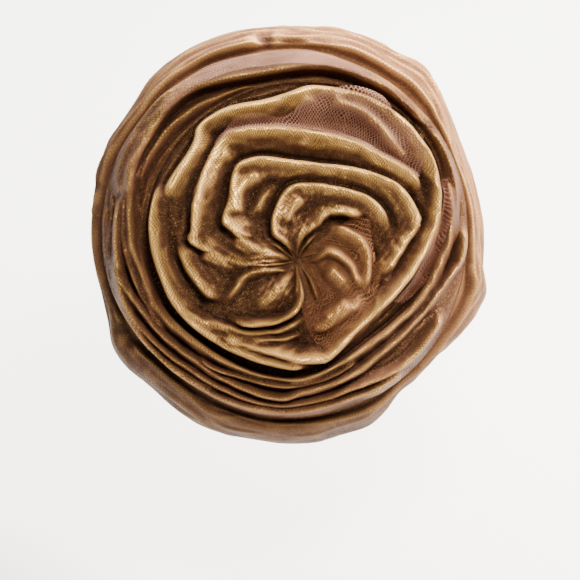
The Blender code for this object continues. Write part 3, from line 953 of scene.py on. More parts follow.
ROSETTE_CRESTS = (
    Crest("first_spoke", (176, 170, 167, 165, 163, 160, 157), (6, 10, 15, 22, 30, 38, 47), 10.5, 1.8, 5,
          end_taper=10),
    Crest("first_arc",
          (164, 161, 158, 154, 152, 145, 138, 132, 127, 122, 115, 105, 97, 90, 82, 75, 67, 60, 52, 45, 37, 30, 24,
           19.5),
          (25, 34, 42, 50, 57, 60, 63, 68, 73, 77, 76.5, 72.5, 69, 67.5, 67, 67.5, 70, 73, 77, 81, 86, 87.5, 88,
           88.5), 12, 6.0, 1.8, 2.0, 4, 26, 6, cap=1.6),
    Crest("first_return", (21, 19.5, 18, 15, 10, 5, 0, -5, -10), (88, 88, 86, 83, 75, 70, 66, 62.5, 60.5),
          11, 5, 2.0, 1.0, 3, 6, 14),
    Crest("second_arc",
          (30, 37, 45, 52, 60, 67, 75, 82, 90, 97, 105, 112, 120, 125, 130, 135, 140, 145, 150, 155, 160, 165,
           168, 169, 171, 173, 175),
          (101, 99, 95, 92, 91, 89.5, 89, 88.5, 90, 92, 94.5, 97.5, 99.5, 96.5, 93, 90, 87, 84.5, 82, 79,
           76.5, 75, 76, 75, 70, 63, 57), 12, 6.5, 1.8, 2.0, 4, 14, 10, cap=1.8),
    Crest("second_spoke", (172, 175, 178, 181, 183, 182, 180.5, 180, 178), (66, 57, 49, 42, 36, 30, 25, 18, 9),
          9, 5.5, 2.0, start_taper=10),
    Crest("third_arc",
          (118, 120, 124, 127, 130, 126, 120, 112, 105, 98, 90, 80, 75, 67, 60, 52, 45, 37, 30, 20, 12),
          (4, 6, 12, 18, 24, 28, 33, 38, 44, 49, 52, 53, 54, 55, 57, 60, 63.5, 66, 67.5, 68, 68), 11, 5.5, 1.8,
          1.5, 3, end_taper=34, cap=1.6),
    Crest("leaf", (104, 112, 118, 124, 131, 138), (53.5, 52, 50, 47, 45, 44), 5, 4, 4),
    Crest("fourth_arc", (92, 88, 84, 80, 74, 68, 63, 60, 57, 52, 46, 40, 37, 38),
          (5, 8, 12, 17, 21, 25, 29, 35, 40, 43, 47, 50, 54, 58), 10, 1.8, 5, -1.0, 3),
    Crest("fourth_pleat", (104, 102, 100, 96, 92, 88, 86), (6, 13, 18, 22, 27, 31, 35), 5.5, 2.5, 2.5),
    Crest("fan_arc", (50, 40, 35, 28, 20, 12, 5, 0, -8, -15, -23),
          (33, 36, 38, 41, 45, 47.5, 48.5, 48.5, 49, 49.5, 51), 10, 4, 1.8, 1.5, 3, cap=1.6),
    Crest("fan_roll", (-3, 8, 15, 17, 14, 8, 3, 0, -5, -10, -15, -20, -23),
          (7, 14, 18, 21, 24, 28, 31, 33, 36, 38.5, 41, 46, 49.5), 12, 1.7, 3.0, cap=1.8),
    Crest("fan_face", (278, 290, 303, 315, 331), (47, 48.5, 49, 50, 51.5), 9, 3.4, 2.0, 1.5, 4, cap=3.0),
    Crest("bottom_arc", (275, 276, 277, 276, 273, 268, 262, 255, 248, 240, 232, 228, 223),
          (3, 12, 18, 24, 29, 34, 38, 42, 46, 50.5, 56, 58.5, 62), 12, 2.0, 1.6, 1.0, 4, cap=1.0),
    Crest("bottom_second", (275, 268, 262, 255, 248, 240, 232, 225, 218, 212, 205, 198),
          (38, 42.5, 46, 49.5, 53, 57.5, 62, 66, 71, 77, 82, 87), 9, 1.8, 1.8, cap=1.0),
    Crest("bottom_third", (272, 262, 252, 242, 232, 222, 214), (50, 54, 57, 61, 65.5, 70, 76), 9, 1.5, 1.5, cap=0.8),
    Crest("lower_edge",
          (222, 225, 232, 240, 247, 255, 262, 270, 278, 286, 292, 300, 307, 315, 322, 330, 337, 345, 352, 360,
           365, 370, 375, 380, 385, 390),
          (76, 74, 71, 68, 66.5, 65.5, 66, 68, 69, 70, 67.5, 64.5, 62.5, 62, 63, 65, 68, 72, 77, 83, 88, 93,
           99, 104, 110, 113), 13, 3.0, 2.2, 2.0, 2),
    Crest("left_edge",
          (150, 155, 160, 165, 172, 180, 187, 195, 203, 210, 217, 225, 232, 240, 248, 255, 268, 275),
          (113, 112, 109, 106, 101.5, 97, 93.5, 91, 88, 85, 81.5, 78, 76, 74, 73, 72.5, 73, 73), 11, 4.5, 1.8,
          1.5, 3),
    Crest("petal", (225, 218, 210, 203, 198, 195, 194, 195, 198, 202, 206, 208),
          (7, 11, 13, 16, 20, 24, 30, 35, 40, 44, 50, 55), 11, 2.6, 2.0, cap=1.0),
    Crest("petal_side", (207, 200, 192, 183, 178, 172), (58, 65.5, 70, 76, 79, 84), 10, 5, 1.8, 1.0, 3),
    Crest("petal_vein", (184, 190, 195), (64, 58, 54), 4, 2.5, 2.5, 0, 0, 8, 8),
    Crest("petal_face", (248, 240, 232, 226), (10, 22, 32, 44), 9, 6, 6, cap=2.0),
    Crest("spoke_low", (205, 200, 196, 192), (7, 12, 18, 26), 4, 2, 2, 0, 0, 8, 10),
    Crest("spoke_high", (140, 138, 140, 144), (7, 12, 18, 26), 4, 2, 2, 0, 0, 8, 10),
    Crest("top_roll",
          (5, 10, 15, 20, 25, 30, 37, 45, 50, 55, 60, 64, 72, 80, 85, 90, 95, 100, 105, 110, 115, 120, 125,
           127, 129, 133, 140, 148, 155),
          (100, 104, 108, 112, 116, 118, 118, 118.5, 120.5, 122, 124, 125.5, 126, 123, 121, 116.5, 113.5, 112,
           112, 113.5, 115, 116, 116, 114, 110, 106, 103.5, 103, 103), 13, 5.5, 1.8, 1.5, 5),
    Crest("pleat_one", (150, 146, 144, 146), (3, 9, 16, 24), 9, 1.0, 1.5, cap=0.6),
    Crest("pleat_two", (128, 124, 120, 118), (3, 9, 16, 22), 9, 1.0, 1.5, cap=0.6),
    Crest("pleat_three", (98, 92, 88, 84, 80), (3, 9, 16, 22, 28), 10, 1.0, 1.5, cap=0.6),
    Crest("pleat_four", (74, 66, 60, 56), (4, 10, 16, 23), 9, 1.0, 1.5, cap=0.6),
    Crest("pleat_five", (40, 30, 22, 18), (4, 9, 14, 20), 8, 1.0, 1.5, cap=0.6),
    Crest("pleat_six", (187, 190, 188, 186, 184), (3, 9, 17, 26, 36), 10, 1.0, 1.5, cap=0.6),
    Crest("pleat_seven", (262, 266, 268, 266), (3, 10, 18, 27), 9, 1.0, 1.5, cap=0.6),
    Crest("pleat_eight", (302, 304, 302, 298), (3, 10, 19, 30), 9, 1.0, 1.5, cap=0.6),
    Crest("pleat_nine", (228, 232, 236, 238), (5, 16, 26, 36), 8, 1.0, 1.5, cap=0.6),
    face("spoke_face", (-44, -33, -20, -8), (17, 11, 5.5, 2), 10.5, 5.5),
    face("left_face", (-43, -43, -40, -34, -26), (31, 41, 50, 56, 60), 11.5, 6.5),
    face("inner_face", (-7, -7, -3, 3), (25, 33, 39, 44), 11, 6),
    face("outer_left_face", (-67, -67, -63, -57, -48), (36, 47, 58, 68, 76), 11.5, 6),
    face("low_left_face", (-66, -58, -47), (8, 3, -2), 10, 5),
    face("petal_low_face", (-24, -17, -10, -5), (-28, -22, -15, -9), 9.5, 6),
    face("roll_face", (19, 26, 33), (-4, -9, -16), 11, 5.5),
    face("fan_low_face", (37, 29, 20), (-28, -34, -41), 11, 6),
    face("edge_face", (24, 45, 63, 79), (-61, -43, -24, -5), 9, 3),
    face("web_face", (3, 20, 38, 52), (78, 78, 71, 62), 3.5, 5),
    face("top_face", (22, 42, 58, 74), (112, 106, 92, 72), 9, 3.5),
)  # fmt: skip

COIL_CRESTS = (
    Crest("main_top",
          (44, 50, 60, 70, 80, 90, 97, 105, 115, 120, 130, 136, 140, 145, 150, 155, 160),
          (130, 132, 135, 136, 137, 135, 133.5, 134, 138, 141, 142, 139, 136.5, 135, 133, 128.5, 125), 14, 2.0, 4,
          -2.5, 7, 20, 14, cap=2.4),
    Crest("main_roll",
          (152, 160, 165, 170, 175, 180, 185, 190, 195, 200, 205, 210, 217, 225, 232, 240, 250, 260, 270, 275, 280,
           285, 290, 297, 305, 315, 322, 330, 337, 345, 352, 360, 365, 370, 380, 390),
          (131, 125, 121, 118, 116, 112, 108.5, 106.5, 105, 102, 98.5, 95, 91, 88, 86, 84, 82.5, 81.5, 82, 81, 79.5,
           78, 76.5, 76, 76, 77, 79, 81.5, 86, 90, 94, 99, 103, 107.5, 114, 119), 13, 2.6, 1.8, -1.5, 2, 14, 20, cap=1.8),
    Crest("main_second",
          (128, 135, 142, 150, 158, 165, 172, 180, 187, 194, 201, 208), (146, 143, 138, 135, 130, 126, 123, 118,
           113.5, 110, 107, 103), 11, 1.8, 1.8, 0, 6, cap=1.0),
    Crest("second_roll", (222, 232, 240, 247, 255, 262, 270, 278, 285, 295, 302),
          (97, 94, 90.5, 89, 88, 87.5, 86.5, 85, 83.5, 81.5, 80), 11, 1.5, 1.5, cap=0.8),
    Crest("third_roll",
          (175, 183, 187, 192, 197, 203, 210, 217, 225, 232, 240, 250, 258, 265, 270, 277, 285, 292, 300, 307,
           315, 322, 330, 337, 345, 350, 355, 360, 365, 372),
          (131, 129, 124, 118, 113.5, 110, 106, 102, 98.5, 97.5, 96, 95.5, 96, 95, 92, 90, 88.5, 87.5, 87, 86,
           86.5, 88, 90.5, 94, 98.5, 102.5, 107, 113, 117, 121), 12, 1.7, 1.7, cap=1.2),
    Crest("fourth_roll",
          (185, 190, 197, 203, 210, 217, 225, 232, 240, 255, 262, 270, 277, 285, 292, 300, 307, 315, 322, 330,
           340),
          (131, 128, 123, 119, 114, 110, 106, 104, 102.5, 101.5, 101, 99.5, 98, 97, 96.5, 98, 100.5, 103, 106,
           109, 113), 10, 1.5, 1.5, cap=0.8),
    Crest("fifth_roll",
          (178, 182, 190, 197, 203, 210, 217, 225, 230, 240, 255, 270, 277, 285, 292, 300, 307, 315),
          (136, 135, 130, 126, 121.5, 119, 116, 112.5, 110.5, 109, 106, 104, 103, 102, 102, 104.5, 106, 108),
          10, 1.7, 2.4, cap=1.2),
    Crest("hidden_line", (103, 112, 120, 130, 140, 150, 156), (124, 125, 127, 128, 128, 127, 126), 6, 1.7, 1.7, 0, 5),
    Crest("left_line", (186, 180, 175, 170, 165, 158), (124, 126, 127.5, 129, 130, 133), 10, 1.7, 1.7, 0, 6, cap=1.0),
    Crest("right_line", (5, 15, 25, 35, 45), (109, 114, 121, 127, 131), 9, 1.8, 1.8, cap=1.0),
)  # fmt: skip

WRAP_CRESTS = (
    Crest("right_first", (10, 15, 22, 30, 37, 45, 52, 60, 67, 75, 82, 90, 98),
          (121, 124, 127, 131, 134, 138, 142, 146, 149, 152, 156, 158, 160), 7, 1.8, 3, -1.0),
    Crest("right_second", (35, 45, 55, 62, 68, 75, 85, 95),
          (137, 144, 149, 152, 153, 156, 160, 162), 5, 1.6, 2.2, cap=0.8),
    Crest("right_third", (38, 50, 60, 70, 82, 95), (140, 150, 156, 158, 163, 165), 4, 1.6, 2.2, cap=0.8),
    Crest("right_low", (330, 340, 350, 360, 370, 380, 390), (116, 119, 121, 123, 126, 130, 133), 5, 2.5, 4),
    Crest("right_lower", (325, 338, 350, 360, 370, 380), (118, 124, 128, 127, 130, 133), 4, 2.5, 3),
    Crest("top_line", (98, 105, 115, 125, 135, 145, 155, 163), (160, 157, 156, 155.5, 153, 149, 145, 142), 10, 1.8, 3,
          -2.0, cap=2.4),
    Crest("top_second", (90, 105, 120, 135, 150, 160), (164, 163, 163, 159, 152, 147), 4, 3, 4),
    Crest("left_first", (150, 157, 163, 170, 180, 190, 200), (147, 144.5, 142, 140, 136, 134, 131), 6, 1.8, 2.2, cap=1.0),
    Crest("left_second", (158, 165, 172, 180, 188), (149, 146, 143, 140, 137), 5, 1.7, 2.0, cap=0.9),
    Crest("left_third", (168, 178, 190, 202, 212), (144.5, 141, 137, 137, 135), 4, 1.5, 1.8, cap=0.7),
    Crest("left_fourth", (160, 170, 180, 190, 198), (141, 138.5, 133, 129.5, 128), 5, 1.5, 1.8, cap=0.7),
    Crest("low_roll",
          (205, 217, 225, 240, 255, 262, 270, 277, 285, 292, 300, 307, 315, 330, 345, 352, 360, 365, 372),
          (128, 125, 123, 122, 121, 120, 118, 116, 113, 112, 112.5, 112.5, 112.5, 116, 119, 120.5, 122, 124,
           126), 6, 3, 4, -0.5),
    Crest("low_second", (200, 210, 220, 235, 250, 265, 280), (136, 133, 131, 129, 127, 125, 122), 4, 3, 4),
)  # fmt: skip


@dataclass
class Sheet:
    """What all the cloth sheets share: the form they lie on, and how they ride the root in place of their CAD parts.
    """

    form: PuffForm = field(default_factory=PuffForm)
    cloth_wall: float = 2.2
    seat_gap: float = 0.35
    flange: float = 4.0

    def raise_folds(
        self, angles: Array, distances: Array, folds: FoldField, level: Array | float, share: Array | float
    ) -> tuple[Array, Array, Array]:
        """Raises a sheet's folds over the dome.

        Args:
            angles: the grid's angles.
            distances: the grid's distances.
            folds: the folds.
            level: height of the sheet between its folds.
            share: how much of the folds is kept at each place.

        Returns:
            The points of the sheet's outer side, their heights over the form and the way out of it.
        """
        across, upward, _ = self.form.directions()
        points, out = self.form.front(angles, distances)
        rise, tilt = folds.raised(distances * np.cos(angles), distances * np.sin(angles))
        share = np.broadcast_to(share, rise.shape)
        tilt = tilt * share[..., None]
        height = level + rise * share
        return points + out * height[..., None] + tilt[..., :1] * across + tilt[..., 1:] * upward, height, out

    @staticmethod
    def wrinkles(angles: Array, distances: Array, seed: int, amount: float) -> Array:
        """Gives fine wrinkles that run round the swirl.

        Args:
            angles: the grid's angles.
            distances: the grid's distances.
            seed: fixed seed.
            amount: their height.

        Returns:
            The height that they add.
        """
        noise = LatticeNoise(seed)
        turns = angles / TURN
        long = 1.0 - 2.5 * np.abs(noise.at(turns * 32.0, distances / 6.0 + 4.0 * np.sin(angles + 1.0)))
        short = noise.at(turns * 64.0, distances / 2.6 + 9.0)
        return amount * (long + 0.35 * short)

    @staticmethod
    def declare(obj: bpy.types.Object, area: float, node: str, slot: str, hold: Hold, cut: float, rests: list[str]) -> None:
        """Rides and replaces a sheet, and logs its size.

        Args:
            obj: the sheet.
            area: its area in square metres.
            node: the CAD node that it stands for.
            slot: its material slot in the record; not used.
            hold: how it is held; not used.
            cut: width of the strip that it was cut from, in metres; not used.
            rests: what it rests on; not used.
        """
        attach(obj, "root")
        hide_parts(node)
        LOG.info("%s: %d points, %.4f m2", obj.name, len(obj.data.vertices), area)


@dataclass
class Rosette(Sheet):
    """The twisted rosette, pinched in at its stitched centre."""

    columns: int = 464
    rows: int = 104
    floor: float = 10.0
    curl: float = 0.06
    dimple_depth: float = 13.0
    dimple_radius: float = 12.0
    pinch_radius: float = 5.0

    def folds(self, widen: float = 1.0) -> FoldField:
        """Gives the rosette's folds, widened for a flap that is stretched over them."""
        ripple = 1.2 if widen == 1.0 else 0.0
        return FoldField(ROSETTE_CRESTS, 11, self.floor + self.cloth_wall, widen=widen, ripple=ripple, gain=1.05)

    def dimple(self, distances: Array) -> Array:
        """Gives how deep the stitched centre pulls the cloth in."""
        return self.dimple_depth * np.exp(-((distances / self.dimple_radius) ** 2))

    def build(self, gold: bpy.types.Material) -> None:
        """Builds the rosette.

        Args:
            gold: the lame.
        """
        turn = np.arange(self.columns) * TURN / self.columns
        shares = ((np.arange(self.rows) + 1.0) / self.rows)[:, None]
        distances = shares * ROSETTE_EDGE.at(turn)
        angles = np.broadcast_to(turn, distances.shape)
        seat = self.flange + self.cloth_wall + self.seat_gap
        inside = smooth((1.0 - shares) / self.curl)
        fine = self.wrinkles(angles, distances, 5, 0.45) * smooth(distances / 30.0)
        level = seat + inside * (self.floor - seat + fine) - self.dimple(distances) + self.cloth_wall
        keep = inside * smooth(distances / self.pinch_radius)
        points, height, out = self.raise_folds(angles, distances, self.folds(), level, keep)
        pattern = ring_pattern(points, 2.0, polar=True)
        # Painted light and shade for the lame's tone: lighter on crests and high faces, darker in valleys, and by fine
        # relief at the centre.
        high = np.clip((height + self.dimple(distances) - self.floor - self.cloth_wall) / 12.5, 0.0, 1.0)
        ridge = 0.25 * relief(height, (16, 16), 5.0) + 0.4 * relief(height, (5, 5), 1.3) + 0.42 * high - 0.06
        centre = 1.0 - smooth(distances / 26.0)
        ridge = ridge + centre * (relief(height, (2, 26), 1.2) - ridge)
        grid = ClothGrid(points, pattern, ridge, steepness(points, out), pole=points[0].mean(axis=0))
        lame = grid.build("rosette_lame", wall=1.0)
        lame.data.materials.append(gold)
        self.declare(lame, grid.area(), "rosette", "lame", Hold.GATHERED, 0.18, ["middle_coil"])


@dataclass
class MiddleCoil(Sheet):
    """The pleated ring between the rosette and the outer wrap."""

    columns: int = 640
    rows: int = 72
    floor: float = 6.0
    flange_width: float = 9.0
    seat_margin: float = 1.5

    def build(self, gold: bpy.types.Material) -> None:
        """Builds the coil.

        Args:
            gold: the lame.
        """
        turn = np.arange(self.columns) * TURN / self.columns
        start = ROSETTE_EDGE.at(turn) - self.flange_width
        shares = np.concatenate([[0.0], np.linspace(0.08, 1.0, self.rows - 1)])[:, None]
        distances = start + (COIL_EDGE.at(turn) - start) * shares
        angles = np.broadcast_to(turn, distances.shape)
        beyond = distances - start - self.flange_width - self.seat_margin
        before = COIL_EDGE.at(turn) - distances
        risen = smooth(beyond / 2.5)
        outward = smooth(before / 3.0)
        edge_height = self.cloth_wall + self.seat_gap
        fine = self.wrinkles(angles, distances, 8, 0.6)
        level = self.flange + risen * (self.floor - self.flange + fine)
        level = edge_height + outward * (level - edge_height) + self.cloth_wall
        folds = FoldField(COIL_CRESTS, 21, self.floor + self.cloth_wall)
        points, height, out = self.raise_folds(angles, distances, folds, level, risen * outward)
        pattern = ring_pattern(points, 80.0, polar=False, girth=680.0)
        # Painted light and shade for the lame's tone: lighter on crests, darker in valleys.
        ridge = 0.4 * relief(height, (14, 14), 6.0) + 0.6 * relief(height, (5, 5), 3.6) - 0.09
        grid = ClothGrid(points, pattern, ridge, steepness(points, out))
        lame = grid.build("coil_lame", wall=1.0)
        lame.data.materials.append(gold)
        self.declare(lame, grid.area(), "middle_coil", "lame", Hold.GATHERED, 0.12, ["outer_wrap"])


@dataclass
class OuterWrap(Sheet):
    """The outer wrap, from under the coil round to the opening."""

    columns: int = 400
    front_rows: int = 50
    back_rows: int = 74
    flange_width: float = 9.0
    seat_margin: float = 1.5
    pleats: float = 8.0
    pleat_height: float = 7.0
    pleat_width: float = 20.0
    line_pitch: float = 3.4
    line_height: float = 2.2

    def build(self, cloth: bpy.types.Material) -> None:
        """Builds the wrap.

        Args:
            cloth: the lame.
        """
        turn = np.arange(self.columns) * TURN / self.columns
        start = COIL_EDGE.at(turn) - self.flange_width
        edge = self.form.outline.at(turn)
        shares = np.concatenate([[0.0], np.linspace(0.3, 1.0, self.front_rows - 1)])[:, None]
        distances = start + (edge - start) * shares
        angles = np.broadcast_to(turn, distances.shape)
        beyond = distances - start - self.flange_width - self.seat_margin
        risen = smooth(beyond / 2.5)
        bulge = OUTLINE.at(turn) - edge - self.cloth_wall - 2.5
        waver = LatticeNoise(35).at(angles / TURN * 16.0, distances / 30.0)
        fold = np.abs(np.sin(0.5 * TURN * ((edge - distances) / self.line_pitch + 0.8 * waver)))
        lines = self.line_height * (1.0 - fold) * (0.6 + 0.4 * waver) * smooth((np.sin(turn) + 0.5) / 0.7)
        level = self.cloth_wall + risen * (0.5 + lines + self.wrinkles(angles, distances, 31, 0.15))
        folds = FoldField(WRAP_CRESTS, 33, self.cloth_wall + 0.5)
        front, height, out = self.raise_folds(angles, distances, folds, level, risen)
        across, upward, _ = self.form.directions()
        radial = np.cos(turn)[:, None] * across + np.sin(turn)[:, None] * upward
        front = front + radial * (bulge * smooth((distances / edge - 0.86) / 0.14))[..., None]
        share = (np.arange(1, self.back_rows + 1) / self.back_rows)[:, None]
        back, back_height, back_out = self._back(turn, share, front[-1], radial * bulge[:, None])
        points = np.concatenate([front, back])
        pattern = ring_pattern(points, 0.0, polar=False, girth=820.0)
        steep = steepness(points, np.concatenate([out, back_out]))
        # Painted light and shade for the lame's tone: lighter on crests, darker in valleys.
        ridge = np.concatenate([relief(height, (4, 4), 1.4), relief(back_height, (5, 5), 9.0)])
        grid = ClothGrid(points, pattern, ridge, steep)
        lame = grid.build("wrap_lame", wall=1.0)
        lame.data.materials.append(cloth)
        self.declare(lame, grid.area(), "outer_wrap", "lame", Hold.STRETCHED, 0.32, ["cap"])

    def _back(self, turn: Array, share: Array, outline: Array, bulge: Array) -> tuple[Array, Array, Array]:
        """Makes the hidden part, in even pleats that gather at the nape.

        Args:
            turn: the columns' angles.
            share: share of the way from the outline to the opening, for each ring.
            outline: the front's last ring.
            bulge: the outline's own shape, which fades out over the back.

        Returns:
            The points, their heights and the way out of the form.
        """
        share = np.broadcast_to(share, (len(share), self.columns))
        points, out, span = self.form.back(turn, share)
        noise = LatticeNoise(41)
        around = turn / TURN
        warp = 0.55 * noise.at(around * 8.0, share * 2.0) + 0.2 * noise.at(around * 16.0, share * 5.0 + 7.0)
        phase = self.pleats * share + warp * smooth(share / 0.12)
        nearest = np.abs(phase - np.floor(phase) - 0.5)
        pitch = 1.25 * span / self.pleats
        flank = np.hypot(nearest * pitch, 1.8) - 1.8
        own = 1.0 + 0.3 * noise.at(around * 16.0, np.floor(phase) * 3.3)
        drop = np.exp(-flank / (0.3 * pitch + 1.0))
        height = self.pleat_height * smooth(pitch / self.pleat_width) * own * drop
        ends = smooth(share / 0.06) * smooth((1.0 - share) / 0.05)
        fine = 0.4 * noise.at(around * 32.0, share * 40.0)
        last, _ = self.form.front(turn, self.form.outline.at(turn))
        join = outline - last - bulge
        height = self.cloth_wall + ends * (height + fine)
        fade = (1.0 - smooth(share / 0.1))[..., None]
        settled = points + out * height[..., None]
        shape = settled + (points + join - settled) * fade + bulge * (1.0 - smooth(share / 0.35))[..., None]
        return shape, height, out


@dataclass
class TulleFlap(Sheet):
    """A flap of net that stands free of the lame: sewn in along its first edge, loose and waved along its second."""

    name: str = ""
    inner_edge: tuple[tuple[float, ...], tuple[float, ...]] = ((), ())
    outer_edge: tuple[tuple[float, ...], tuple[float, ...]] = ((), ())
    columns: int = 150
    rows: int = 28
    clear: float = 1.3
    lift: float = 2.0
    waves: float = 4.0
    wave_height: float = 1.6
    pleats: float = 0.0
    pleat_height: float = 0.0
    base: float = 12.2
    seed: int = 3
    cut: float = 0.03

    def build(self, folds: FoldField, dip: Rosette | None, net: bpy.types.Material, rests: str) -> None:
        """Builds the flap.

        Args:
            folds: the folds that it is stretched over.
            dip: the rosette, where the flap reaches its stitched centre.
            net: the tulle.
            rests: the node that it rests on.
        """
        degrees = np.linspace(self.inner_edge[0][0], self.inner_edge[0][-1], self.columns)
        share = np.linspace(0.0, 1.0, self.rows)[:, None]
        way = np.linspace(0.0, 1.0, self.columns)
        inner = Ribbon(*self.inner_edge).at(degrees)
        outer = Ribbon(*self.outer_edge).at(degrees)
        noise = LatticeNoise(self.seed)
        flutter = noise.at(way * self.waves * 2.0, np.full(way.shape, 0.5))
        shown = inner + (outer - inner) * share * (1.0 + 0.05 * flutter * share)
        angles = np.broadcast_to(np.radians(degrees), shown.shape)
        ends = smooth(way / 0.12) * smooth((1.0 - way) / 0.12)
        wave = np.cos(TURN * self.waves * way + 2.0 * flutter)
        pleat = np.abs(np.sin(math.pi * self.pleats * way + flutter)) - 0.5
        sag = self.lift * share**2 + self.wave_height * wave * share**1.5 + self.pleat_height * pleat * share
        level = self.base + self.clear + sag * ends
        if dip is not None:
            level = level - dip.dimple(shown)
        rise, _ = folds.raised(shown * np.cos(angles), shown * np.sin(angles))
        _, out = self.form.front(angles, shown)
        across, upward, _ = self.form.directions()
        sideways = out @ across * np.cos(angles) + out @ upward * np.sin(angles)
        distances = np.maximum(shown - sideways * (level + rise), 1.0)
        points, _, out = self.raise_folds(angles, distances, folds, level, smooth(distances / 6.0))
        steps = np.linalg.norm(np.diff(points, axis=0), axis=-1)
        length = np.concatenate([np.zeros((1, self.columns)), np.cumsum(steps, axis=0)])
        over = np.linalg.norm(np.diff(points[self.rows // 2], axis=0), axis=-1)
        along = np.concatenate([[0.0], np.cumsum(over)])
        pattern = np.stack([np.broadcast_to(along, length.shape), length], axis=-1)
        steep = steepness(points, out, closed=False)
        grid = ClothGrid(points, pattern, np.full(steep.shape, 0.5), steep, closed=False)
        flap = grid.build(self.name + "_net")
        flap.data.materials.append(net)
        self.declare(flap, grid.area(), self.name, "tulle", Hold.GATHERED, self.cut, [rests])


@dataclass(frozen=True)
class Ribbon:
    """An open edge round the rosette: distances from its centre at rising degrees."""

    degrees: tuple[float, ...]
    distances: tuple[float, ...]

    def at(self, degrees: Array) -> Array:
        """Reads the edge, eased between its places."""
        fine = np.linspace(self.degrees[0], self.degrees[-1], 400)
        line = np.interp(fine, self.degrees, self.distances)
        padded = np.pad(line, 6, mode="edge")
        even = np.convolve(padded, np.hanning(15)[1:-1] / np.hanning(15).sum(), mode="valid")
        return np.interp(degrees, fine, even)


FLAPS = (
    TulleFlap(
        name="tulle_web",
        inner_edge=((35, 45, 52, 60, 75, 90, 105, 115, 125), (99, 94, 91, 90, 88, 89, 93, 97, 96)),
        outer_edge=(
            (35, 39, 45, 55, 63, 75, 80, 88, 92, 97, 102, 108, 113, 120, 125),
            (101, 112, 117, 119, 126, 124, 120, 110, 102, 99, 102, 106, 107, 102, 97),
        ),
        lift=1.5, waves=4.0, wave_height=1.2, cut=0.035,
    ),
    TulleFlap(
        name="tulle_fan",
        inner_edge=((-90, -40, 0, 45), (4, 4, 4, 4)),
        outer_edge=(
            (-90, -84, -78, -70, -60, -45, -30, -15, -5, 0, 10, 20, 30, 38, 45),
            (8, 38, 58, 63, 59, 58, 59.5, 59.5, 58, 55, 53, 54, 57, 50, 10),
        ),
        lift=1.2, waves=2.5, wave_height=0.8, pleats=7.0, pleat_height=0.9, clear=1.0, cut=0.055, seed=7,
    ),
    TulleFlap(
        name="tulle_ruffle",
        inner_edge=((-22, -15, -8, 0, 5, 10, 15, 20, 25, 30), (70, 74, 78, 83, 87, 92, 98, 103, 109, 112)),
        outer_edge=((-22, -13, -5, 0, 5, 12, 15, 22, 30), (78, 86, 93, 97, 99, 103, 107, 113, 116)),
        columns=110, rows=18, lift=1.0, waves=4.0, wave_height=1.2, cut=0.015, seed=9,
    ),
)  # fmt: skip
BAND = TulleFlap(
    name="tulle_band",
    inner_edge=((66, 80, 90, 100, 110, 120, 128, 133), (139, 139, 139, 139, 142, 144, 145, 145)),
    outer_edge=((66, 72, 80, 90, 100, 110, 117, 122, 128, 133), (140, 144, 147, 148, 148, 150, 151, 150.5, 148, 146)),
    rows=16, lift=-2.0, waves=3.0, wave_height=0.6, base=11.0, cut=0.012, seed=12,
)  # fmt: skip


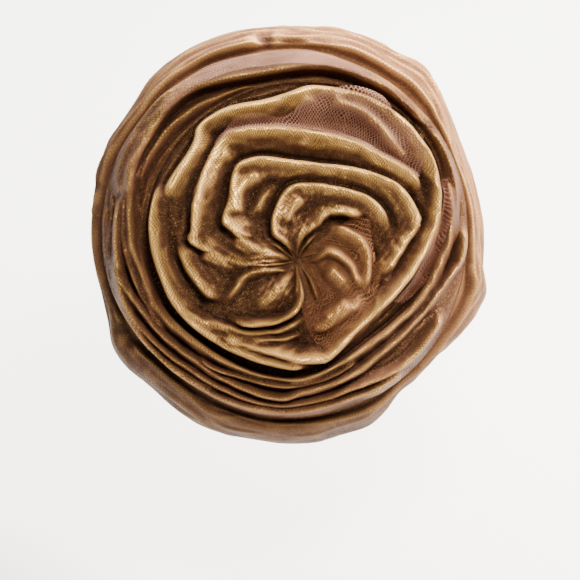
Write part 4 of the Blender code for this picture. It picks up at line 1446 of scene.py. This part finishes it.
@dataclass
class Cap:
    """The plain jersey cap that goes on the head: half an egg with a straight hem."""

    form: PuffForm = field(default_factory=PuffForm)
    columns: int = 128
    rows: int = 56
    hem_share: float = 0.08

    def tree(self) -> bpy.types.NodeTree:
        """Builds the rule that shapes the cap from a flat grid.

        Returns:
            The tree, with named inputs for the cap's sizes.
        """
        tree = bpy.data.node_groups.new("cap_shape", "GeometryNodeTree")
        sizes = {
            "Half Width": self.form.head_half_width,
            "Half Depth": self.form.head_half_depth,
            "Height": self.form.head_height,
            "Hem Drop": self.form.hem_drop,
            "Tilt": self.form.tilt,
        }
        for title, value in sizes.items():
            socket = tree.interface.new_socket(title, in_out="INPUT", socket_type="NodeSocketFloat")
            socket.default_value = value
        tree.interface.new_socket("Jersey", in_out="INPUT", socket_type="NodeSocketMaterial")
        tree.interface.new_socket("Geometry", in_out="OUTPUT", socket_type="NodeSocketGeometry")
        graph = Graph(tree)
        given = graph.add("NodeGroupInput").outputs
        counts = {"Vertices X": self.columns + 1, "Vertices Y": self.rows + 1, "Size X": 1.0, "Size Y": 1.0}
        flat = graph.add("GeometryNodeMeshGrid", counts).outputs["Mesh"]
        place = graph.add("ShaderNodeSeparateXYZ", {0: graph.add("GeometryNodeInputPosition").outputs[0]}).outputs
        turn = graph.math("MULTIPLY", graph.math("ADD", place[0], 0.5), TURN)
        share = graph.math("ADD", place[1], 0.5)
        rise = graph.spread(share, self.hem_share, 1.0, 0.0, 0.25 * TURN)
        below = graph.spread(share, 0.0, self.hem_share, 1.0, 0.0)
        flare = graph.math("COSINE", rise)
        across = graph.math("MULTIPLY", graph.math("MULTIPLY", graph.math("COSINE", turn), flare), given["Half Width"])
        along = graph.math("MULTIPLY", graph.math("MULTIPLY", graph.math("SINE", turn), flare), given["Half Depth"])
        up = graph.math("MULTIPLY", graph.math("SINE", rise), given["Height"])
        up = graph.math("SUBTRACT", up, graph.math("MULTIPLY", below, given["Hem Drop"]))
        shaped = graph.add("ShaderNodeCombineXYZ", {0: across, 1: along, 2: up}).outputs[0]
        tilted = graph.add(
            "ShaderNodeVectorRotate", {"Vector": shaped, "Angle": given["Tilt"]}, rotation_type="X_AXIS"
        ).outputs[0]
        moved = graph.add(
            "GeometryNodeSetPosition", {"Geometry": flat, "Position": graph.scaled(tilted, MM)}
        ).outputs[0]
        closed = graph.add("GeometryNodeMergeByDistance", {"Geometry": moved, "Distance": 0.00001}).outputs[0]
        smoothed = graph.add("GeometryNodeSetShadeSmooth", {"Geometry": closed}).outputs[0]
        real = graph.add("GeometryNodeRealizeInstances", {"Geometry": smoothed}).outputs[0]
        dressed = graph.add("GeometryNodeSetMaterial", {"Geometry": real, "Material": given["Jersey"]}).outputs[0]
        graph.wire(dressed, graph.add("NodeGroupOutput").inputs["Geometry"])
        return tree

    def build(self, jersey: bpy.types.Material) -> None:
        """Builds the cap.

        Args:
            jersey: its finish.
        """
        cap = from_tree("cap_jersey_shell", self.tree(), {"Jersey": jersey})
        wall = cap.modifiers.new("wall", "SOLIDIFY")
        wall.thickness = self.form.cap_wall * MM
        wall.offset = 1.0
        area = sum(face.area for face in cap.data.polygons)
        Sheet.declare(cap, area, "cap", "cap_jersey", Hold.STRETCHED, 0.32, ["outer_wrap"])


@dataclass
class Stitches:
    """Rows of hand stitches along a line of cloth points, each a short bowed thread."""

    name: str
    length: float = 3.4
    gap: float = 2.2
    radius: float = 0.35
    jitter: float = 0.25
    seed: int = 4

    def tree(self) -> bpy.types.NodeTree:
        """Builds the rule that sets stitches along a curve.

        Returns:
            The tree, with named inputs for the stitches' sizes.
        """
        tree = bpy.data.node_groups.new(self.name + "_rule", "GeometryNodeTree")
        tree.interface.new_socket("Geometry", in_out="INPUT", socket_type="NodeSocketGeometry")
        sizes = {"Stitch Length": self.length, "Stitch Gap": self.gap, "Thread Radius": self.radius, "Jitter": self.jitter}
        for title, value in sizes.items():
            socket = tree.interface.new_socket(title, in_out="INPUT", socket_type="NodeSocketFloat")
            socket.default_value = value
        tree.interface.new_socket("Thread", in_out="INPUT", socket_type="NodeSocketMaterial")
        tree.interface.new_socket("Geometry", in_out="OUTPUT", socket_type="NodeSocketGeometry")
        graph = Graph(tree)
        given = graph.add("NodeGroupInput").outputs
        curve = graph.add("GeometryNodeMeshToCurve", {"Mesh": given["Geometry"]}).outputs[0]
        pitch = graph.math("MULTIPLY", graph.math("ADD", given["Stitch Length"], given["Stitch Gap"]), MM)
        spots = graph.add("GeometryNodeCurveToPoints", {"Curve": curve, "Length": pitch}, mode="LENGTH").outputs
        half = graph.math("MULTIPLY", given["Stitch Length"], 0.5 * MM)
        start = graph.add("ShaderNodeCombineXYZ", {2: graph.math("MULTIPLY", half, -1.0)}).outputs[0]
        end = graph.add("ShaderNodeCombineXYZ", {2: half}).outputs[0]
        bow = graph.add("ShaderNodeCombineXYZ", {0: graph.math("MULTIPLY", given["Thread Radius"], 1.6 * MM)}).outputs[0]
        path = graph.add(
            "GeometryNodeCurveQuadraticBezier", {"Resolution": 6, "Start": start, "Middle": bow, "End": end}
        ).outputs[0]
        ring = graph.add(
            "GeometryNodeCurvePrimitiveCircle", {"Resolution": 6, "Radius": graph.math("MULTIPLY", given["Thread Radius"], MM)}
        ).outputs[0]
        thread = graph.add(
            "GeometryNodeCurveToMesh", {"Curve": path, "Profile Curve": ring, "Fill Caps": True}
        ).outputs[0]
        turn = graph.add(
            "FunctionNodeRandomValue",
            {"Min": (-0.3, -0.3, -0.3), "Max": (0.3, 0.3, 0.3), "Seed": self.seed},
            data_type="FLOAT_VECTOR",
        ).outputs[0]
        turned = graph.add(
            "FunctionNodeRotateRotation", {"Rotation": spots["Rotation"], "Rotate By": graph.scaled(turn, given["Jitter"])}
        ).outputs[0]
        placed = graph.add(
            "GeometryNodeInstanceOnPoints", {"Points": spots["Points"], "Instance": thread, "Rotation": turned}
        ).outputs[0]
        real = graph.add("GeometryNodeRealizeInstances", {"Geometry": placed}).outputs[0]
        dressed = graph.add("GeometryNodeSetMaterial", {"Geometry": real, "Material": given["Thread"]}).outputs[0]
        graph.wire(dressed, graph.add("NodeGroupOutput").inputs["Geometry"])
        return tree

    def build(self, lines: list[Array], closed: bool, thread: bpy.types.Material) -> None:
        """Builds the stitches.

        Args:
            lines: the lines that they follow, in millimetres.
            closed: whether each line goes right round.
            thread: their finish.
        """
        points, edges = [], []
        for line in lines:
            first = len(points)
            points += (line * MM).tolist()
            edges += [(first + k, first + k + 1) for k in range(len(line) - 1)]
            if closed:
                edges.append((first + len(line) - 1, first))
        mesh = bpy.data.meshes.new(self.name + "_line")
        mesh.from_pydata(points, edges, [])
        stitches = from_tree(self.name, self.tree(), {"Thread": thread}, mesh)
        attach(stitches, "root")
        LOG.info("%s: %d points", self.name, len(stitches.data.vertices))


def from_tree(
    name: str, tree: bpy.types.NodeTree, given: dict[str, object], start: bpy.types.Mesh | None = None
) -> bpy.types.Object:
    """Runs a geometry node tree once and keeps its result as a plain mesh.

    Args:
        name: name of the finished object.
        tree: the tree.
        given: values for its named inputs.
        start: the mesh that it starts from.

    Returns:
        The object, without the modifier.
    """
    carrier = bpy.data.objects.new(name + "_carrier", start or bpy.data.meshes.new(name + "_start"))
    bpy.context.collection.objects.link(carrier)
    modifier = carrier.modifiers.new("shape", "NODES")
    modifier.node_group = tree
    for item in tree.interface.items_tree:
        if item.item_type == "SOCKET" and item.in_out == "INPUT" and item.name in given:
            modifier[item.identifier] = given[item.name]
    ready = carrier.evaluated_get(bpy.context.evaluated_depsgraph_get())
    mesh = bpy.data.meshes.new_from_object(ready)
    mesh.name = name
    bpy.data.objects.remove(carrier)
    obj = bpy.data.objects.new(name, mesh)
    bpy.context.collection.objects.link(obj)
    return obj


@dataclass
class Studio:
    """The plain floor, soft lights and the camera."""

    form: PuffForm = field(default_factory=PuffForm)
    distance: float = 2.4
    frame_width: float = 0.410
    aim_down: float = 0.0378
    floor_height: float = -0.24

    def build(self) -> None:
        """Builds the stage."""
        self._floor()
        self._lights()
        self._camera()
        world = bpy.data.worlds.new("studio")
        world.use_nodes = True
        world.node_tree.nodes["Background"].inputs[0].default_value = (1.0, 0.95, 0.9, 1.0)
        world.node_tree.nodes["Background"].inputs[1].default_value = 0.08
        bpy.context.scene.world = world
        LOG.info("studio built")

    def _floor(self) -> None:
        """Lays a large pale floor well below the turban."""
        mesh = bpy.data.meshes.new("floor")
        z = self.floor_height
        mesh.from_pydata([(-9, -9, z), (9, -9, z), (9, 9, z), (-9, 9, z)], [], [(0, 1, 2, 3)])
        floor = bpy.data.objects.new("floor", mesh)
        bpy.context.collection.objects.link(floor)
        made, graph, shader = new_material("floor_white")
        place = graph.add("ShaderNodeTexCoord").outputs["Object"]
        grain = graph.add("ShaderNodeTexNoise", {"Vector": place, "Scale": 3.0, "Detail": 2.0})
        graph.wire(
            graph.mix(grain.outputs[0], (0.9, 0.9, 0.9, 1), (0.93, 0.93, 0.93, 1)), shader.inputs["Base Color"]
        )
        shader.inputs["Roughness"].default_value = 0.9
        mesh.materials.append(made)

    def _lights(self) -> None:
        """Hangs a soft key light over the camera's right, a light on the far floor and a weak fill."""
        target = np.array(self.form.middle) * MM
        for name, place, aim, size, power, tint in (
            ("key", (0.3, -1.0, 1.5), (0, 0, 0), 0.5, 56.0, (1.0, 0.95, 0.88)),
            ("back", (1.15, 0.4, 0.95), (0, 0.05, 0), 0.5, 150.0, (1.0, 0.92, 0.82)),
            ("floor", (0.0, 1.0, 1.1), (0.0, 0.6, -0.3), 0.9, 90.0, (1.0, 1.0, 1.0)),
            ("fill", (-1.1, -1.0, 0.5), (0, 0, 0), 1.0, 3.0, (1.0, 0.93, 0.88)),
        ):
            lamp = bpy.data.lights.new(name, "AREA")
            lamp.shape = "DISK"
            lamp.size = size
            lamp.energy = power
            lamp.color = tint
            obj = bpy.data.objects.new(name, lamp)
            obj.location = target + np.array(place)
            obj.rotation_mode = "QUATERNION"
            obj.rotation_quaternion = look(target + np.array(place), target + np.array(aim))
            bpy.context.collection.objects.link(obj)

    def _camera(self) -> None:
        """Sets the camera square to the rosette, with the turban a little above the frame's middle."""
        _, upward, axis = self.form.directions()
        camera = bpy.data.cameras.new("camera")
        camera.sensor_width = 36.0
        camera.lens = 36.0 * self.distance / self.frame_width
        obj = bpy.data.objects.new("camera", camera)
        aim = np.array(self.form.middle) * MM - upward * self.aim_down + np.array([0.0007, 0, 0])
        obj.location = aim + axis * self.distance
        obj.rotation_mode = "QUATERNION"
        obj.rotation_quaternion = look(aim + axis * self.distance, aim)
        bpy.context.collection.objects.link(obj)
        bpy.context.scene.camera = obj


def look(place: Array, target: Array) -> Quaternion:
    """Gives the turn with which a camera or lamp at a place faces a target."""
    return (Vector(target) - Vector(place)).to_track_quat("-Z", "Y")


def centre_lines(form: PuffForm, radius: float, count: int) -> list[Array]:
    """Gives the lines of the gather stitches at the rosette's centre.

    Args:
        form: the plain form.
        radius: how far from the centre they reach.
        count: how many there are.

    Returns:
        Short lines that cross the pinched centre.
    """
    lines = []
    for k in range(count):
        turn = TURN * (k + 0.3) / (2 * count)
        reach = np.linspace(-radius, radius, 12)
        angles = np.where(reach < 0, turn + math.pi, turn)
        points, out = form.front(angles, np.abs(reach))
        lines.append(points + out * 1.2)
    return lines


def hem_line(form: PuffForm) -> Array:
    """Gives the line of the hem stitches, just inside the opening's edge.

    Args:
        form: the plain form.

    Returns:
        A closed line on the cap's inner wall.
    """
    turn = np.arange(240) * TURN / 240
    across = (form.head_half_width - 0.1) * np.cos(turn)
    along = (form.head_half_depth - 0.1) * np.sin(turn)
    up = np.full(240, -1.5)
    cosine, sine = math.cos(form.tilt), math.sin(form.tilt)
    return np.stack([across, along * cosine - up * sine, along * sine + up * cosine], axis=-1)


def main() -> None:
    """Builds the turban piece by piece, then the studio."""
    logging.basicConfig(level=logging.INFO, format="%(name)s: %(message)s")
    effects = Effects()
    gold, rose = GOLD.make(effects), ROSE_GOLD.make(effects)
    brown, copper, mauve = BROWN_NET.make(effects), FAN_NET.make(effects), MAUVE_NET.make(effects)
    thread = THREAD.make()
    form = PuffForm()
    rosette = Rosette()
    rosette.build(gold)
    MiddleCoil().build(gold)
    OuterWrap().build(rose)
    web, fan, ruffle = FLAPS
    wide = rosette.folds(widen=1.7)
    web.build(wide, None, mauve, "rosette")
    fan.build(rosette.folds(widen=1.12), rosette, copper, "rosette")
    ruffle.build(wide, None, brown, "rosette")
    BAND.build(FoldField(COIL_CRESTS, 21, 8.2, widen=1.3, ripple=0.0), None, mauve, "outer_wrap")
    Cap().build(JERSEY.make(effects))
    Stitches("hem_stitches").build([hem_line(form)], True, thread)
    Stitches("centre_stitches", length=2.6, gap=1.0, radius=0.3, seed=8).build(centre_lines(form, 4.5, 3), False, thread)
    Studio().build()
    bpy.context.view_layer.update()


if __name__ == "__main__":
    main()
